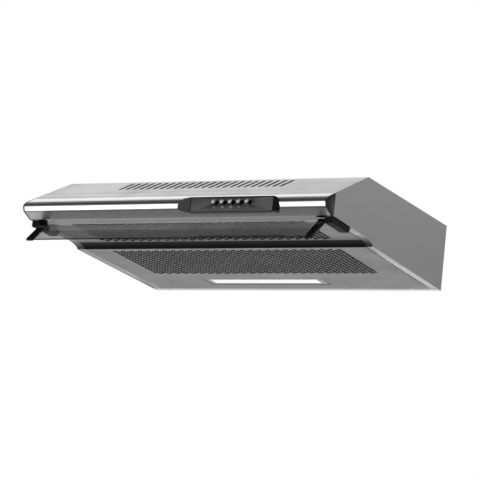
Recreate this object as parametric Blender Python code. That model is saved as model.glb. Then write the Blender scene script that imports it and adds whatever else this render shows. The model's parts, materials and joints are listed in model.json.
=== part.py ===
# Under-cabinet range hood: a bent sheet-steel canopy with a folding smoked visor, a hinged
# filter grille, five push buttons and a twin-impeller blower under a duct collar.
# Metres, +Z up, the front faces -Y. The origin is the middle of the flat top's rear edge.
import math

import bmesh
import bpy
from mathutils import Matrix, Vector

# Canopy
WIDTH = 0.600
BODY_DEPTH = 0.460  # wall to the front edge of the side panels
TOP_DEPTH = 0.342  # wall to the ridge where the front slopes down
FRONT_DROP = 0.0596  # fall from the ridge to the foot of the slope
UNDERSIDE_TILT = math.radians(1.8)  # the underside rises towards the front
STEP_DEPTH = 0.298  # wall to the foot of the step in the underside
STEP_RUN = 0.041
STEP_RISE = 0.0085
SHEET = 0.001
FLANGE = 0.015  # inward fold along the bottom of a side panel
REAR_FLANGE = 0.014
FRONT_LIP = 0.008

# Nose
NOSE_REACH = 0.0306  # how far the tip stands in front of the side panels
# points of the brow: forward of the foot of the slope, and below it
NOSE_BROW = ((0.0144, 0.0072), (0.0218, 0.0116), (0.0270, 0.0156))
NOSE_ROUNDING = 0.0045
NOSE_BAND = 0.010  # height of the polished band at the tip
NOSE_BAND_LEAN = 0.0034
NOSE_HEEL = 0.0043  # how far the lower face stops short of the side panels
END_CAP = 0.003
RAIL_LIP = 0.0065
RAIL_SHELF = 0.0075

# Slots in the slope
SLOT_COUNT = 24
SLOT_PITCH = 0.014
SLOT_WIDTH = 0.0064
SLOT_LENGTH = 0.055
SLOT_FROM_RIDGE = 0.010

# Controls
CONTROL_X = 0.123
CONTROL_LENGTH = 0.160
CONTROL_HEIGHT = 0.027
CONTROL_TOP = 0.0115  # below the foot of the slope
CONTROL_STAND = 0.0042  # how far it stands in front of the nose's tip
CONTROL_TIP_LEFT = 0.027
CONTROL_TIP_RIGHT = 0.008
CONTROL_TIP_HEIGHT = 0.009
CONTROL_TIP_BLEND = 0.0005  # how far the tips run into the band
CONTROL_TIP_BACK = 0.006
HOUSING_DEPTH = 0.022  # behind the nose's tip
HOUSING_TAPER = 0.76  # height at the back as a share of the front
WINDOW_HALF_HEIGHT = 0.0055
WINDOW_MARGIN = 0.004
WINDOW_DEPTH = 0.012
FACE_PLATE = 0.001
FACE_MARGIN = 0.001
BUTTON_PITCH = 0.016
BUTTON_OFFSET = 0.0032  # middle button to the right of the strip's middle
BUTTON_RADIUS = 0.0035
BUTTON_REACH = 0.013
BUTTON_STEM = 0.002
BUTTON_TRAVEL = 0.003
BUTTON_DROP = 0.011  # from the top of the control housing to the buttons' axes
SWITCH_HEIGHT = 0.010
SWITCH_DEPTH = 0.009
BANK_SETBACK = 0.0145  # behind the face of the control strip
BANK_MARGIN = 0.003
BOARD_MARGIN = 0.004
BOARD = 0.0016

# Visor
VISOR_PIVOT_BACK = 0.010  # behind the front edge of the side panels
VISOR_PIVOT_DROP = 0.0045  # below the underside
VISOR_LENGTH = 0.0584
VISOR_REST = math.radians(42)  # below horizontal, forwards
VISOR_SHEET = 0.002
VISOR_INNER = 0.008  # from the pivot to the near edge of the sheet
ARM_WIDTH = 0.013
ARM_THICKNESS = 0.0045
VISOR_TRIM = 0.002
BRACKET_WIDTH = 0.0155
BRACKET_LENGTH = 0.072
BRACKET_HEIGHT = 0.011
BRACKET_INSET = 0.002  # from the outer face of the side panel
VISOR_PIN_RADIUS = 0.0018
PIN_HEAD_RADIUS = 0.0028
PIN_HEAD = 0.0012
ARM_HUB_RADIUS = 0.0032
ARM_TAIL = 0.003  # how far an arm runs past its pivot
BRACKET_START = 0.002  # behind the front edge of the side panels
BRACKET_SLANT = 0.009
BRACKET_SCREW_BACK = 0.022
BRACKET_SCREW_RADIUS = 0.002
BRACKET_SCREW_DEPTH = 0.003
BRACKET_WALL = 0.003  # left between the pin's bore and the outer side
BRACKET_DROP = 0.0005  # below the underside
PIN_SHORT = 0.004  # how far the pin stops short of the outer side

# Grilles, filter and lamp
GRILLE_SEAM = 0.001
STRIP_THICKNESS = 0.0015
STRIP_TURN = 57  # degrees of the step's curve that the handle strip covers
SEAM_TURN = 2  # degrees left open between the strip and the front grille
TRAY_LIP = 0.0125
FILTER_THICKNESS = 0.008
FILTER_MARGIN = 0.012
CLIP_RADIUS = 0.0015
CLIP_PLACES = (("front", 0.060), ("rear", 0.160))  # behind the foot of the step
CATCH_WIDTH = 0.012
CATCH_HEIGHT = 0.009
CATCH_BACK = 0.014  # in front of the foot of the step
LIP_START = 0.004
LIP_SHORT = 0.006  # how far the tray's lips stop short of the knuckles
NOTCH_DEPTH = 0.0065  # room for a hinge ear in the grille's rear edge
FILTER_FRONT = 0.010  # from the grille's front edge to the filter
FILTER_END = 0.008  # from the filter to the lamp's window
EAR_RISE = 0.012
HINGE_BACK = 0.019  # wall to the grille's hinge axis
HINGE_RISE = 0.0029  # hinge axis above the grille's lower face
HINGE_PIN_RADIUS = 0.0012
KNUCKLE_RADIUS = 0.0026
KNUCKLE_LENGTH = 0.020
HINGE_INSET = 0.075  # from the outer face of the side panel to the start of a knuckle
EAR_LENGTH = 0.008
LAMP_X = -0.0265
LAMP_LENGTH = 0.251
LAMP_DEPTH = 0.036
LAMP_BACK = 0.062
LAMP_HEIGHT = 0.020
LAMP_WALL = 0.0025
LENS_RECESS = 0.0008
LENS_THICKNESS = 0.002
LENS_LENGTH = 0.224
LENS_DEPTH = 0.028
LENS_SHIFT = -0.003  # lens middle from the lamp's middle
LENS_BEVEL = 0.002
LAMP_END_GAP = 0.0018  # room to unhook the lamp at its right end
LAMP_HANGER_HALF = 0.007
LAMP_HANGER_SHEET = 0.0015
LAMP_HANGER_TAB = 0.016
LAMP_INSET = 0.0005  # above the grille's lower face
LED_MARGIN = (0.004, 0.003)

# Blower and duct
BLOWER_BACK = 0.150  # wall to the blower's shaft and the duct's axis
BLOWER_HEADROOM = 0.008  # top of the casing to the scroll
FLOOR_ROOM = 0.0177  # scroll to the lowest edge of the casing
SCROLL_RADIUS = 0.048
SCROLL_LENGTH = 0.248
SCROLL_WALL = 0.002
PLENUM_HALF = 0.062
PLENUM_HEIGHT = 0.020
INLET_STEP = 0.015  # scroll radius to inlet radius
IMPELLER_ROOM = 0.008  # scroll radius to impeller radius
IMPELLER_LENGTH = 0.060
BLADE_COUNT = 20
BLADE_DEPTH = 0.007
BLADE_THICKNESS = 0.001
IMPELLER_CLEAR = 0.007  # from the motor's boss to the disc
IMPELLER_DISC = 0.002
HUB_RADIUS = 0.009
HUB_LENGTH = 0.016
SHAFT_END = 0.004
INLET_WALL = 0.0035
INLET_LIP = 0.005
SHAFT_RADIUS = 0.004
MOTOR_RADIUS = 0.033
MOTOR_LENGTH = 0.056
MOTOR_BOSS = 0.012
MOTOR_BRACKET = 0.003
MOTOR_BRACKET_HALF = 0.018
MOTOR_BRACKET_FIT = 0.0008
MOTOR_BRACKET_LAP = 0.0005
DUCT_RADIUS = 0.060
DUCT_WALL = 0.0025
DUCT_HEIGHT = 0.028
COLLAR_MARGIN = 0.008
LEDGE_SHEET = 0.0015
LEDGE_WIDTH = 0.0035
FLAP_AXIS_RISE = 0.005
FLAP_SHEET = 0.001
FLAP_PIN_RADIUS = 0.0015
FLAP_EYE_RADIUS = 0.003
FLAP_EYE_LENGTH = 0.006
FLAP_EYES = (-0.040, 0.020)
FLAP_PLAY = 0.0012
FLAP_CHORD = 0.0008  # from an eye to the flap's straight edge

# Electrics
DRIVER_SIZE = (0.090, 0.030, 0.018)
DRIVER_INSET = 0.035  # from the left side panel
DRIVER_BACK = 0.060
TERMINAL_SIZE = (0.060, 0.034, 0.028)
TERMINAL_LEFT = 0.040  # left of the cable gland
TERMINAL_DROP = 0.066
CAPACITOR_RADIUS = 0.014
CAPACITOR_LENGTH = 0.055
CAPACITOR_LEFT = 0.090  # left of the cable gland
CAPACITOR_BACK = 0.060
CAPACITOR_DROP = 0.004
GLAND_RADIUS = 0.008
GLAND_BORE = 0.004
GLAND_LENGTH = 0.014
GLAND_NUT = 0.005
GLAND_NUT_EDGE = 0.004
GLAND_INSET = 0.070  # from the outer face of the right side panel
GLAND_BACK = 0.045

# Fits
GAP = 0.0003
RUNNING = 0.0004
THROUGH = 0.010  # how far a cutter runs past what it cuts
ROUND = 32  # sides of the larger round pieces
SMALL_ROUND = 12

# colour, roughness, metallic
FINISHES = {
    "steel": ((0.50, 0.50, 0.50), 0.35, 1.0),
    "cap_grey": ((0.045, 0.045, 0.045), 0.45, 0.0),
    "black": ((0.012, 0.012, 0.012), 0.35, 0.0),
    "face_grey": ((0.10, 0.10, 0.10), 0.40, 0.0),
    "silver": ((0.80, 0.80, 0.80), 0.25, 1.0),
    "smoked": ((0.10, 0.11, 0.11), 0.10, 0.0),
    "lens": ((0.92, 0.92, 0.90), 0.50, 0.0),
    "lamp_grey": ((0.40, 0.40, 0.42), 0.45, 0.0),
    "board_green": ((0.02, 0.12, 0.05), 0.50, 0.0),
    "mesh": ((0.62, 0.62, 0.63), 0.45, 1.0),
    "zinc": ((0.55, 0.56, 0.58), 0.40, 1.0),
    "housing_grey": ((0.20, 0.20, 0.21), 0.55, 0.0),
    "white": ((0.75, 0.75, 0.73), 0.45, 0.0),
}

# Maps an outline drawn in (y, z) and extruded along x into place.
ACROSS = Matrix(((0, 0, 1, 0), (1, 0, 0, 0), (0, 1, 0, 0), (0, 0, 0, 1)))


def material(finish):
    found = bpy.data.materials.get(finish)
    if found:
        return found
    colour, roughness, metallic = FINISHES[finish]
    made = bpy.data.materials.new(finish)
    made.use_nodes = True
    shader = made.node_tree.nodes["Principled BSDF"]
    shader.inputs["Base Color"].default_value = (*colour, 1)
    shader.inputs["Roughness"].default_value = roughness
    shader.inputs["Metallic"].default_value = metallic
    return made


def add(name, bm, finish):
    # one closed mesh, its normals outward, as a named object
    bmesh.ops.recalc_face_normals(bm, faces=bm.faces)
    if bm.calc_volume(signed=True) < 0:
        bmesh.ops.reverse_faces(bm, faces=bm.faces)
    mesh = bpy.data.meshes.new(name)
    bm.to_mesh(mesh)
    bm.free()
    mesh.materials.append(material(finish))
    mesh.shade_smooth()
    mesh.set_sharp_from_angle(angle=math.radians(35))
    obj = bpy.data.objects.new(name, mesh)
    bpy.context.scene.collection.objects.link(obj)
    return obj


def combine(obj, tool, operation):
    # Boolean of two objects, kept on the first; the second is used up
    modifier = obj.modifiers.new(operation.lower(), "BOOLEAN")
    modifier.operation = operation
    modifier.object = tool
    graph = bpy.context.evaluated_depsgraph_get()
    mesh = bpy.data.meshes.new_from_object(obj.evaluated_get(graph))
    mesh.name = obj.name
    obj.modifiers.clear()
    obj.data = mesh
    bpy.data.objects.remove(tool)
    return obj


def cut(obj, tool):
    return combine(obj, tool, "DIFFERENCE")


def join(obj, tool):
    return combine(obj, tool, "UNION")


def prism(name, outline, low, high, finish, place=ACROSS):
    # a flat outline extruded from low to high, then put in place
    bm = bmesh.new()
    face = bm.faces.new([bm.verts.new((u, v, low)) for u, v in outline])
    grown = bmesh.ops.extrude_face_region(bm, geom=[face])["geom"]
    moved = [part for part in grown if isinstance(part, bmesh.types.BMVert)]
    bmesh.ops.translate(bm, verts=moved, vec=(0, 0, high - low))
    bm.transform(place)
    return add(name, bm, finish)


def box(name, low, high, finish, place=Matrix()):
    outline = ((low[0], low[1]), (high[0], low[1]), (high[0], high[1]), (low[0], high[1]))
    return prism(name, outline, low[2], high[2], finish, place)


def circle(radius, sides, centre=(0, 0)):
    turns = [2 * math.pi * (k + 0.5) / sides for k in range(sides)]
    return [(centre[0] + radius * math.cos(t), centre[1] + radius * math.sin(t)) for t in turns]


def rod(name, radius, centre, x_low, x_high, finish, sides=SMALL_ROUND):
    # a round bar along x; centre is (y, z)
    return prism(name, circle(radius, sides, centre), x_low, x_high, finish)


def offset_path(path, distance):
    # the path moved to its left, with mitred corners
    moved = []
    for k, point in enumerate(path):
        normals = []
        for a, b in ((k - 1, k), (k, k + 1)):
            if a >= 0 and b < len(path):
                run = (Vector(path[b]) - Vector(path[a])).normalized()
                normals.append(Vector((-run.y, run.x)))
        mean = sum(normals, Vector((0, 0))) / len(normals)
        moved.append(tuple(Vector(point) + mean * (distance / mean.length_squared)))
    return moved


def ribbon(path, thickness=SHEET):
    # the outline of a bent sheet whose outer face follows the path, with its wall on the left
    return list(path) + offset_path(path, thickness)[::-1]


def rounded(path, radius, steps=4):
    # the path with each inner corner turned into an arc
    points = [tuple(path[0])]
    for before, corner, after in zip(path, path[1:], path[2:]):
        back = (Vector(before) - Vector(corner)).normalized()
        ahead = (Vector(after) - Vector(corner)).normalized()
        half = back.angle(ahead) / 2
        centre = Vector(corner) + (back + ahead).normalized() * (radius / math.sin(half))
        start = Vector(corner) + back * (radius / math.tan(half)) - centre
        end = Vector(corner) + ahead * (radius / math.tan(half)) - centre
        for k in range(steps + 1):
            point = start.slerp(end, k / steps) if start.angle(end) > 1e-4 else start
            points.append(tuple(centre + point.normalized() * radius))
    points.append(tuple(path[-1]))
    return points


def rear_line(y):
    # height of the underside behind the step
    return -REAR_HEIGHT - y * math.tan(UNDERSIDE_TILT)


def front_line(y):
    return rear_line(y) + STEP_RISE


def step_arc(start=0, end=90, steps=6):
    # from the foot of the step forwards to where it runs level, or a stretch of that, in degrees
    points = []
    for k in range(steps + 1):
        turn = math.radians(start + (end - start) * k / steps)
        y = -STEP_DEPTH - STEP_RUN * (1 - math.cos(turn))
        points.append((y, rear_line(y) + STEP_RISE * math.sin(turn)))
    return points


def tilted(y):
    # a frame on the rear underside at that depth: x across, y back, z out of the sheet
    turn = Matrix.Rotation(-UNDERSIDE_TILT, 4, "X")
    return Matrix.Translation((0, y, rear_line(y))) @ turn


HALF = WIDTH / 2
SHAFT_DROP = BLOWER_HEADROOM + SCROLL_RADIUS
REAR_HEIGHT = SHAFT_DROP + SCROLL_RADIUS + FLOOR_ROOM  # the casing is as deep as its blower needs
IMPELLER_RADIUS = SCROLL_RADIUS - IMPELLER_ROOM
INLET_RADIUS = SCROLL_RADIUS - INLET_STEP
HINGE_X = HALF - HINGE_INSET
GLAND_X = HALF - GLAND_INSET
INNER_HALF = HALF - SHEET - GAP  # panels between the side panels reach this far
FRONT = -BODY_DEPTH
SLOPE_ANGLE = math.atan2(FRONT_DROP, BODY_DEPTH - TOP_DEPTH)
RIDGE = (-TOP_DEPTH, 0)
SLOPE_FOOT = (FRONT, -FRONT_DROP)
NOSE_MOUTH = front_line(FRONT)  # height where the nose's lower face ends
TIP_TOP = (FRONT - NOSE_REACH, (NOSE_MOUTH - FRONT_DROP) / 2)
BLOWER = (-BLOWER_BACK, -SHAFT_DROP)
BANK_X = CONTROL_X + BUTTON_OFFSET


def nose_path():
    # outer face of the nose, from the foot of the slope round the tip to the heel
    top = (FRONT - GAP, -FRONT_DROP - GAP)
    brow = [(FRONT - ahead, -FRONT_DROP - below) for ahead, below in NOSE_BROW]
    tip_bottom = (TIP_TOP[0] + NOSE_BAND_LEAN, TIP_TOP[1] - NOSE_BAND)
    heel = (FRONT - NOSE_HEEL, NOSE_MOUTH)
    return rounded((top, *brow, TIP_TOP, tip_bottom, heel), NOSE_ROUNDING, 5)


def make_panels():
    roof_front = -TOP_DEPTH + SHEET * math.sin(SLOPE_ANGLE) + GAP
    top = box("top_panel", (-INNER_HALF, roof_front, -SHEET), (INNER_HALF, 0, 0), "steel")
    duct_hole = circle(DUCT_RADIUS + GAP, ROUND, (0, -BLOWER_BACK))
    gland_hole = circle(GLAND_RADIUS + GAP, SMALL_ROUND, (GLAND_X, -GLAND_BACK))
    for hole in (duct_hole, gland_hole):
        cut(top, prism("hole", hole, -THROUGH, THROUGH, "steel", Matrix()))

    slope = prism("slope_panel", ribbon((RIDGE, SLOPE_FOOT)), -INNER_HALF, INNER_HALF, "steel")
    cut(slope, slot_cutter())

    rear_path = ((-REAR_FLANGE, rear_line(-REAR_FLANGE)), (0, -REAR_HEIGHT), (0, -SHEET - GAP))
    prism("rear_panel", ribbon(rear_path), -INNER_HALF, INNER_HALF, "steel")

    flange_end = -REAR_FLANGE - GRILLE_SEAM
    bottom = [(FRONT, front_line(FRONT))] + step_arc()[::-1]
    side = [(0, 0), RIDGE, SLOPE_FOOT] + bottom + [(0, -REAR_HEIGHT)]
    # the folds lie a hair inside the panel's edges, so that no two faces coincide
    fold_front = (FRONT + 0.5 * GAP, front_line(FRONT))
    fold_path = [fold_front] + bottom[1:] + [(flange_end, rear_line(flange_end))]
    fold = ribbon(offset_path(fold_path, GAP), SHEET - GAP)
    lip_top, lip_bottom = -FRONT_DROP - 2 * SHEET, front_line(FRONT) + 2 * GAP
    lip = ribbon(((FRONT + GAP, lip_top), (FRONT + GAP, lip_bottom)), SHEET - GAP)
    for label, sign in (("left", -1), ("right", 1)):
        outer, inner, middle = sign * HALF, sign * (HALF - SHEET), sign * (HALF - SHEET / 2)
        panel = prism(f"side_panel_{label}", side, *sorted((inner, outer)), "steel")
        join(panel, prism("fold", fold, *sorted((sign * (HALF - FLANGE), middle)), "steel"))
        join(panel, prism("lip", lip, *sorted((sign * (HALF - FRONT_LIP), middle)), "steel"))


def slot_cutter():
    # every slot as one tool, laid on the slope
    on_slope = Matrix.Translation((0, *RIDGE)) @ Matrix.Rotation(SLOPE_ANGLE, 4, "X")
    middle = -SLOT_FROM_RIDGE - SLOT_LENGTH / 2
    straight = SLOT_LENGTH / 2 - SLOT_WIDTH / 2
    bm = bmesh.new()
    for k in range(SLOT_COUNT):
        x = (k - (SLOT_COUNT - 1) / 2) * SLOT_PITCH
        rim = []
        for sign in (1, -1):
            for step in range(5):
                turn = math.radians(45 * step + (0 if sign > 0 else 180))
                rim.append(
                    (
                        x + SLOT_WIDTH / 2 * math.cos(turn),
                        middle + sign * straight + SLOT_WIDTH / 2 * math.sin(turn),
                        -5 * SHEET,
                    )
                )
        face = bm.faces.new([bm.verts.new(point) for point in rim])
        grown = bmesh.ops.extrude_face_region(bm, geom=[face])["geom"]
        moved = [part for part in grown if isinstance(part, bmesh.types.BMVert)]
        bmesh.ops.translate(bm, verts=moved, vec=(0, 0, 10 * SHEET))
    bm.transform(on_slope)
    return add("slots", bm, "steel")


def make_nose():
    path = nose_path()
    span = HALF - END_CAP - GAP
    nose = prism("nose_profile", ribbon(path), -span, span, "steel")
    window_half = 2 * BUTTON_PITCH + BUTTON_RADIUS + WINDOW_MARGIN
    button_z = -FRONT_DROP - CONTROL_TOP - BUTTON_DROP
    window_low = (BANK_X - window_half, TIP_TOP[0] - THROUGH, button_z - WINDOW_HALF_HEIGHT)
    window_high = (BANK_X + window_half, TIP_TOP[0] + WINDOW_DEPTH, button_z + WINDOW_HALF_HEIGHT)
    cut(nose, box("window", window_low, window_high, "steel"))
    cap = path + [(FRONT - GAP, NOSE_MOUTH)]
    for label, sign in (("left", -1), ("right", 1)):
        prism(f"nose_end_cap_{label}", cap, *sorted((sign * (HALF - END_CAP), sign * HALF)), "cap_grey")
    shelf_y = FRONT - NOSE_HEEL + SHEET
    shelf_z = NOSE_MOUTH
    lip_y = shelf_y + RAIL_SHELF
    rail = ((lip_y, shelf_z - RAIL_LIP), (lip_y, shelf_z), (shelf_y, shelf_z))
    reach = HALF - BRACKET_INSET - BRACKET_WIDTH - ARM_WIDTH - 3 * GRILLE_SEAM
    prism("front_rail", ribbon(rail, -SHEET), -reach, reach, "steel")


def make_controls():
    top = -FRONT_DROP - CONTROL_TOP
    bottom = top - CONTROL_HEIGHT
    face_y = TIP_TOP[0] - CONTROL_STAND
    left, right = CONTROL_X - CONTROL_LENGTH / 2, CONTROL_X + CONTROL_LENGTH / 2
    middle = (top + bottom) / 2
    bm = bmesh.new()
    for x in (left, right):
        for z in (bottom, top):
            bm.verts.new((x, face_y, z))
            bm.verts.new((x, TIP_TOP[0] + HOUSING_DEPTH, middle + (z - middle) * HOUSING_TAPER))
    for x, sign, reach in ((left, -1, CONTROL_TIP_LEFT), (right, 1, CONTROL_TIP_RIGHT)):
        for turn in (30, 60, 90):
            # a wedge narrows to a blunt tip on the band: round above, straighter below
            along, above = math.sin(math.radians(turn)), math.cos(math.radians(turn))
            depth = face_y + (CONTROL_STAND + CONTROL_TIP_BLEND) * along
            for z_sign, share in ((1, above), (-1, (above + 1 - along) / 2)):
                height = (CONTROL_TIP_HEIGHT + (CONTROL_HEIGHT - CONTROL_TIP_HEIGHT) * share) / 2
                bm.verts.new((x + sign * reach * along, depth, middle + z_sign * height))
                back = TIP_TOP[0] + CONTROL_TIP_BACK
                bm.verts.new((x + sign * reach * along, back, middle + z_sign * height))
    hull = bmesh.ops.convex_hull(bm, input=bm.verts)
    bmesh.ops.delete(bm, geom=hull["geom_interior"] + hull["geom_unused"], context="VERTS")
    housing = add("control_housing", bm, "black")
    path = nose_path()
    keep_out = offset_path(path, -GAP) + [(FRONT + THROUGH, NOSE_MOUTH), (FRONT + THROUGH, -FRONT_DROP)]
    cut(housing, prism("nose", keep_out, -HALF, HALF, "black"))
    recess_low = (left + FACE_MARGIN, face_y - THROUGH, bottom + FACE_MARGIN)
    recess_high = (right - FACE_MARGIN, face_y + FACE_PLATE, top - FACE_MARGIN)
    cut(housing, box("recess", recess_low, recess_high, "black"))
    plate_low = (left + FACE_MARGIN + GAP, face_y, bottom + FACE_MARGIN + GAP)
    plate_high = (right - FACE_MARGIN - GAP, face_y + FACE_PLATE - GAP, top - FACE_MARGIN - GAP)
    plate = box("control_face", plate_low, plate_high, "face_grey")

    button_z = top - BUTTON_DROP
    bank_y = face_y + BANK_SETBACK
    bank_half = 2 * BUTTON_PITCH + BUTTON_RADIUS + BANK_MARGIN
    bank = box(
        "switch_bank",
        (BANK_X - bank_half, bank_y, button_z - SWITCH_HEIGHT / 2),
        (BANK_X + bank_half, bank_y + SWITCH_DEPTH, button_z + SWITCH_HEIGHT / 2),
        "housing_grey",
    )
    board_y = bank_y + SWITCH_DEPTH + GAP
    box(
        "switch_board",
        (BANK_X - bank_half - BOARD_MARGIN, board_y, button_z - SWITCH_HEIGHT / 2 - 0.003),
        (BANK_X + bank_half + BOARD_MARGIN, board_y + BOARD, button_z + SWITCH_HEIGHT / 2 + SHEET),
        "board_green",
    )
    forward = Matrix(((1, 0, 0, 0), (0, 0, 1, 0), (0, -1, 0, 0), (0, 0, 0, 1)))
    names = ("button_lamp", "button_plus", "button_stop", "button_minus", "button_fan")
    for k, name in enumerate(names):
        centre = (BANK_X + (k - 2) * BUTTON_PITCH, -button_z)
        wide = circle(BUTTON_RADIUS + RUNNING, SMALL_ROUND, centre)
        for pierced in (housing, plate):
            cut(pierced, prism("bore", wide, face_y - THROUGH, face_y + 2 * THROUGH, "black", forward))
        narrow = circle(BUTTON_STEM + RUNNING, SMALL_ROUND, centre)
        bank_floor = bank_y + SWITCH_DEPTH - SHEET
        cut(bank, prism("bore", narrow, bank_y - THROUGH, bank_floor, "black", forward))
        cap = circle(BUTTON_RADIUS, SMALL_ROUND, centre)
        stem = circle(BUTTON_STEM, SMALL_ROUND, centre)
        knob_end = bank_y - BUTTON_TRAVEL - SHEET
        button = prism(name, cap, face_y - BUTTON_REACH, knob_end, "black", forward)
        stem_end = bank_y + SWITCH_DEPTH - BUTTON_TRAVEL - 1.5 * SHEET
        join(button, prism("stem", stem, knob_end - SHEET, stem_end, "black", forward))


def make_visor():
    pivot_y = FRONT + VISOR_PIVOT_BACK
    pivot_z = front_line(pivot_y) - VISOR_PIVOT_DROP
    turn = Matrix.Rotation(VISOR_REST, 4, "X")
    # a frame on the pivot: -y runs down the visor, z is its upper face
    hang = Matrix.Translation((0, pivot_y, pivot_z)) @ turn
    outer = HALF - BRACKET_INSET - BRACKET_WIDTH - GRILLE_SEAM
    sheet_half = outer - ARM_WIDTH - GAP
    half_arm, half_sheet = ARM_THICKNESS / 2, VISOR_SHEET / 2
    trim_start = -VISOR_LENGTH + VISOR_TRIM
    glass_low = (-sheet_half, trim_start + GAP, -half_sheet)
    box("visor_glass", glass_low, (sheet_half, -VISOR_INNER, half_sheet), "smoked", hang)
    trim_low = (-sheet_half, -VISOR_LENGTH, -half_sheet)
    box("visor_edge_trim", trim_low, (sheet_half, trim_start, half_sheet), "black", hang)
    pivot = (pivot_y, pivot_z)
    pin_hole = circle(VISOR_PIN_RADIUS + GAP, SMALL_ROUND, pivot)
    for label, sign in (("left", -1), ("right", 1)):
        inner = outer - ARM_WIDTH
        near, far = sorted((sign * outer, sign * inner))
        arm_low, arm_high = (near, -VISOR_LENGTH, -half_arm), (far, ARM_TAIL, half_arm)
        arm = box(f"visor_arm_{label}", arm_low, arm_high, "black", hang)
        join(arm, rod("hub", ARM_HUB_RADIUS, pivot, near, far, "black"))
        cut(arm, prism("bore", pin_hole, near - THROUGH, far + THROUGH, "black"))

        out_x = sign * (HALF - BRACKET_INSET)
        in_x = sign * (HALF - BRACKET_INSET - BRACKET_WIDTH)
        front_y, back_y = FRONT + BRACKET_START, FRONT + BRACKET_START + BRACKET_LENGTH
        slant_y = back_y - BRACKET_SLANT
        block = [
            (front_y, front_line(front_y) - BRACKET_DROP),
            (front_y, front_line(front_y) - BRACKET_HEIGHT),
            (slant_y, front_line(slant_y) - BRACKET_HEIGHT),
            (back_y, front_line(back_y) - BRACKET_DROP),
        ]
        bracket = prism(f"visor_bracket_{label}", block, *sorted((in_x, out_x)), "black")
        blind = sorted((in_x - sign * THROUGH, out_x - sign * BRACKET_WALL))
        cut(bracket, prism("bore", pin_hole, *blind, "black"))
        screw_at = (sign * (HALF - BRACKET_INSET - BRACKET_WIDTH / 2), FRONT + BRACKET_SCREW_BACK)
        screw_hole = circle(BRACKET_SCREW_RADIUS, SMALL_ROUND, screw_at)
        hole_top = front_line(FRONT) - BRACKET_HEIGHT + BRACKET_SCREW_DEPTH
        cut(bracket, prism("bore", screw_hole, hole_top - THROUGH, hole_top, "black", Matrix()))
        head_x = sorted((sign * (inner - GAP), sign * (inner - GAP - PIN_HEAD)))
        head = rod(f"visor_pin_{label}", PIN_HEAD_RADIUS, pivot, *head_x, "zinc")
        pin_x = sorted((sign * (inner - PIN_HEAD + GAP / 2), out_x - sign * PIN_SHORT))
        join(head, rod("pin", VISOR_PIN_RADIUS, pivot, *pin_x, "zinc"))


def make_front_grille():
    lip_back = FRONT - NOSE_HEEL + 2 * SHEET + RAIL_SHELF + GAP
    curve = step_arc(STRIP_TURN + SEAM_TURN, 90, 4)[::-1]
    sheet = ribbon([(lip_back, front_line(lip_back))] + curve)
    reach = HALF - FLANGE - GRILLE_SEAM
    prism("front_grille", sheet, -reach, reach, "steel")
    for label, sign in (("left", -1), ("right", 1)):
        # a sprung catch on the side fold holds up the front of the hinged grille
        near, far = sorted((sign * (reach - CATCH_WIDTH / 2), sign * (reach - 1.5 * CATCH_WIDTH)))
        low = (near, 0.0, STEP_RISE + STRIP_THICKNESS + GAP)
        high = (far, CATCH_WIDTH, STEP_RISE + STRIP_THICKNESS + CATCH_HEIGHT)
        box(f"grille_catch_{label}", low, high, "zinc", tilted(-STEP_DEPTH - CATCH_BACK))


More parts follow.
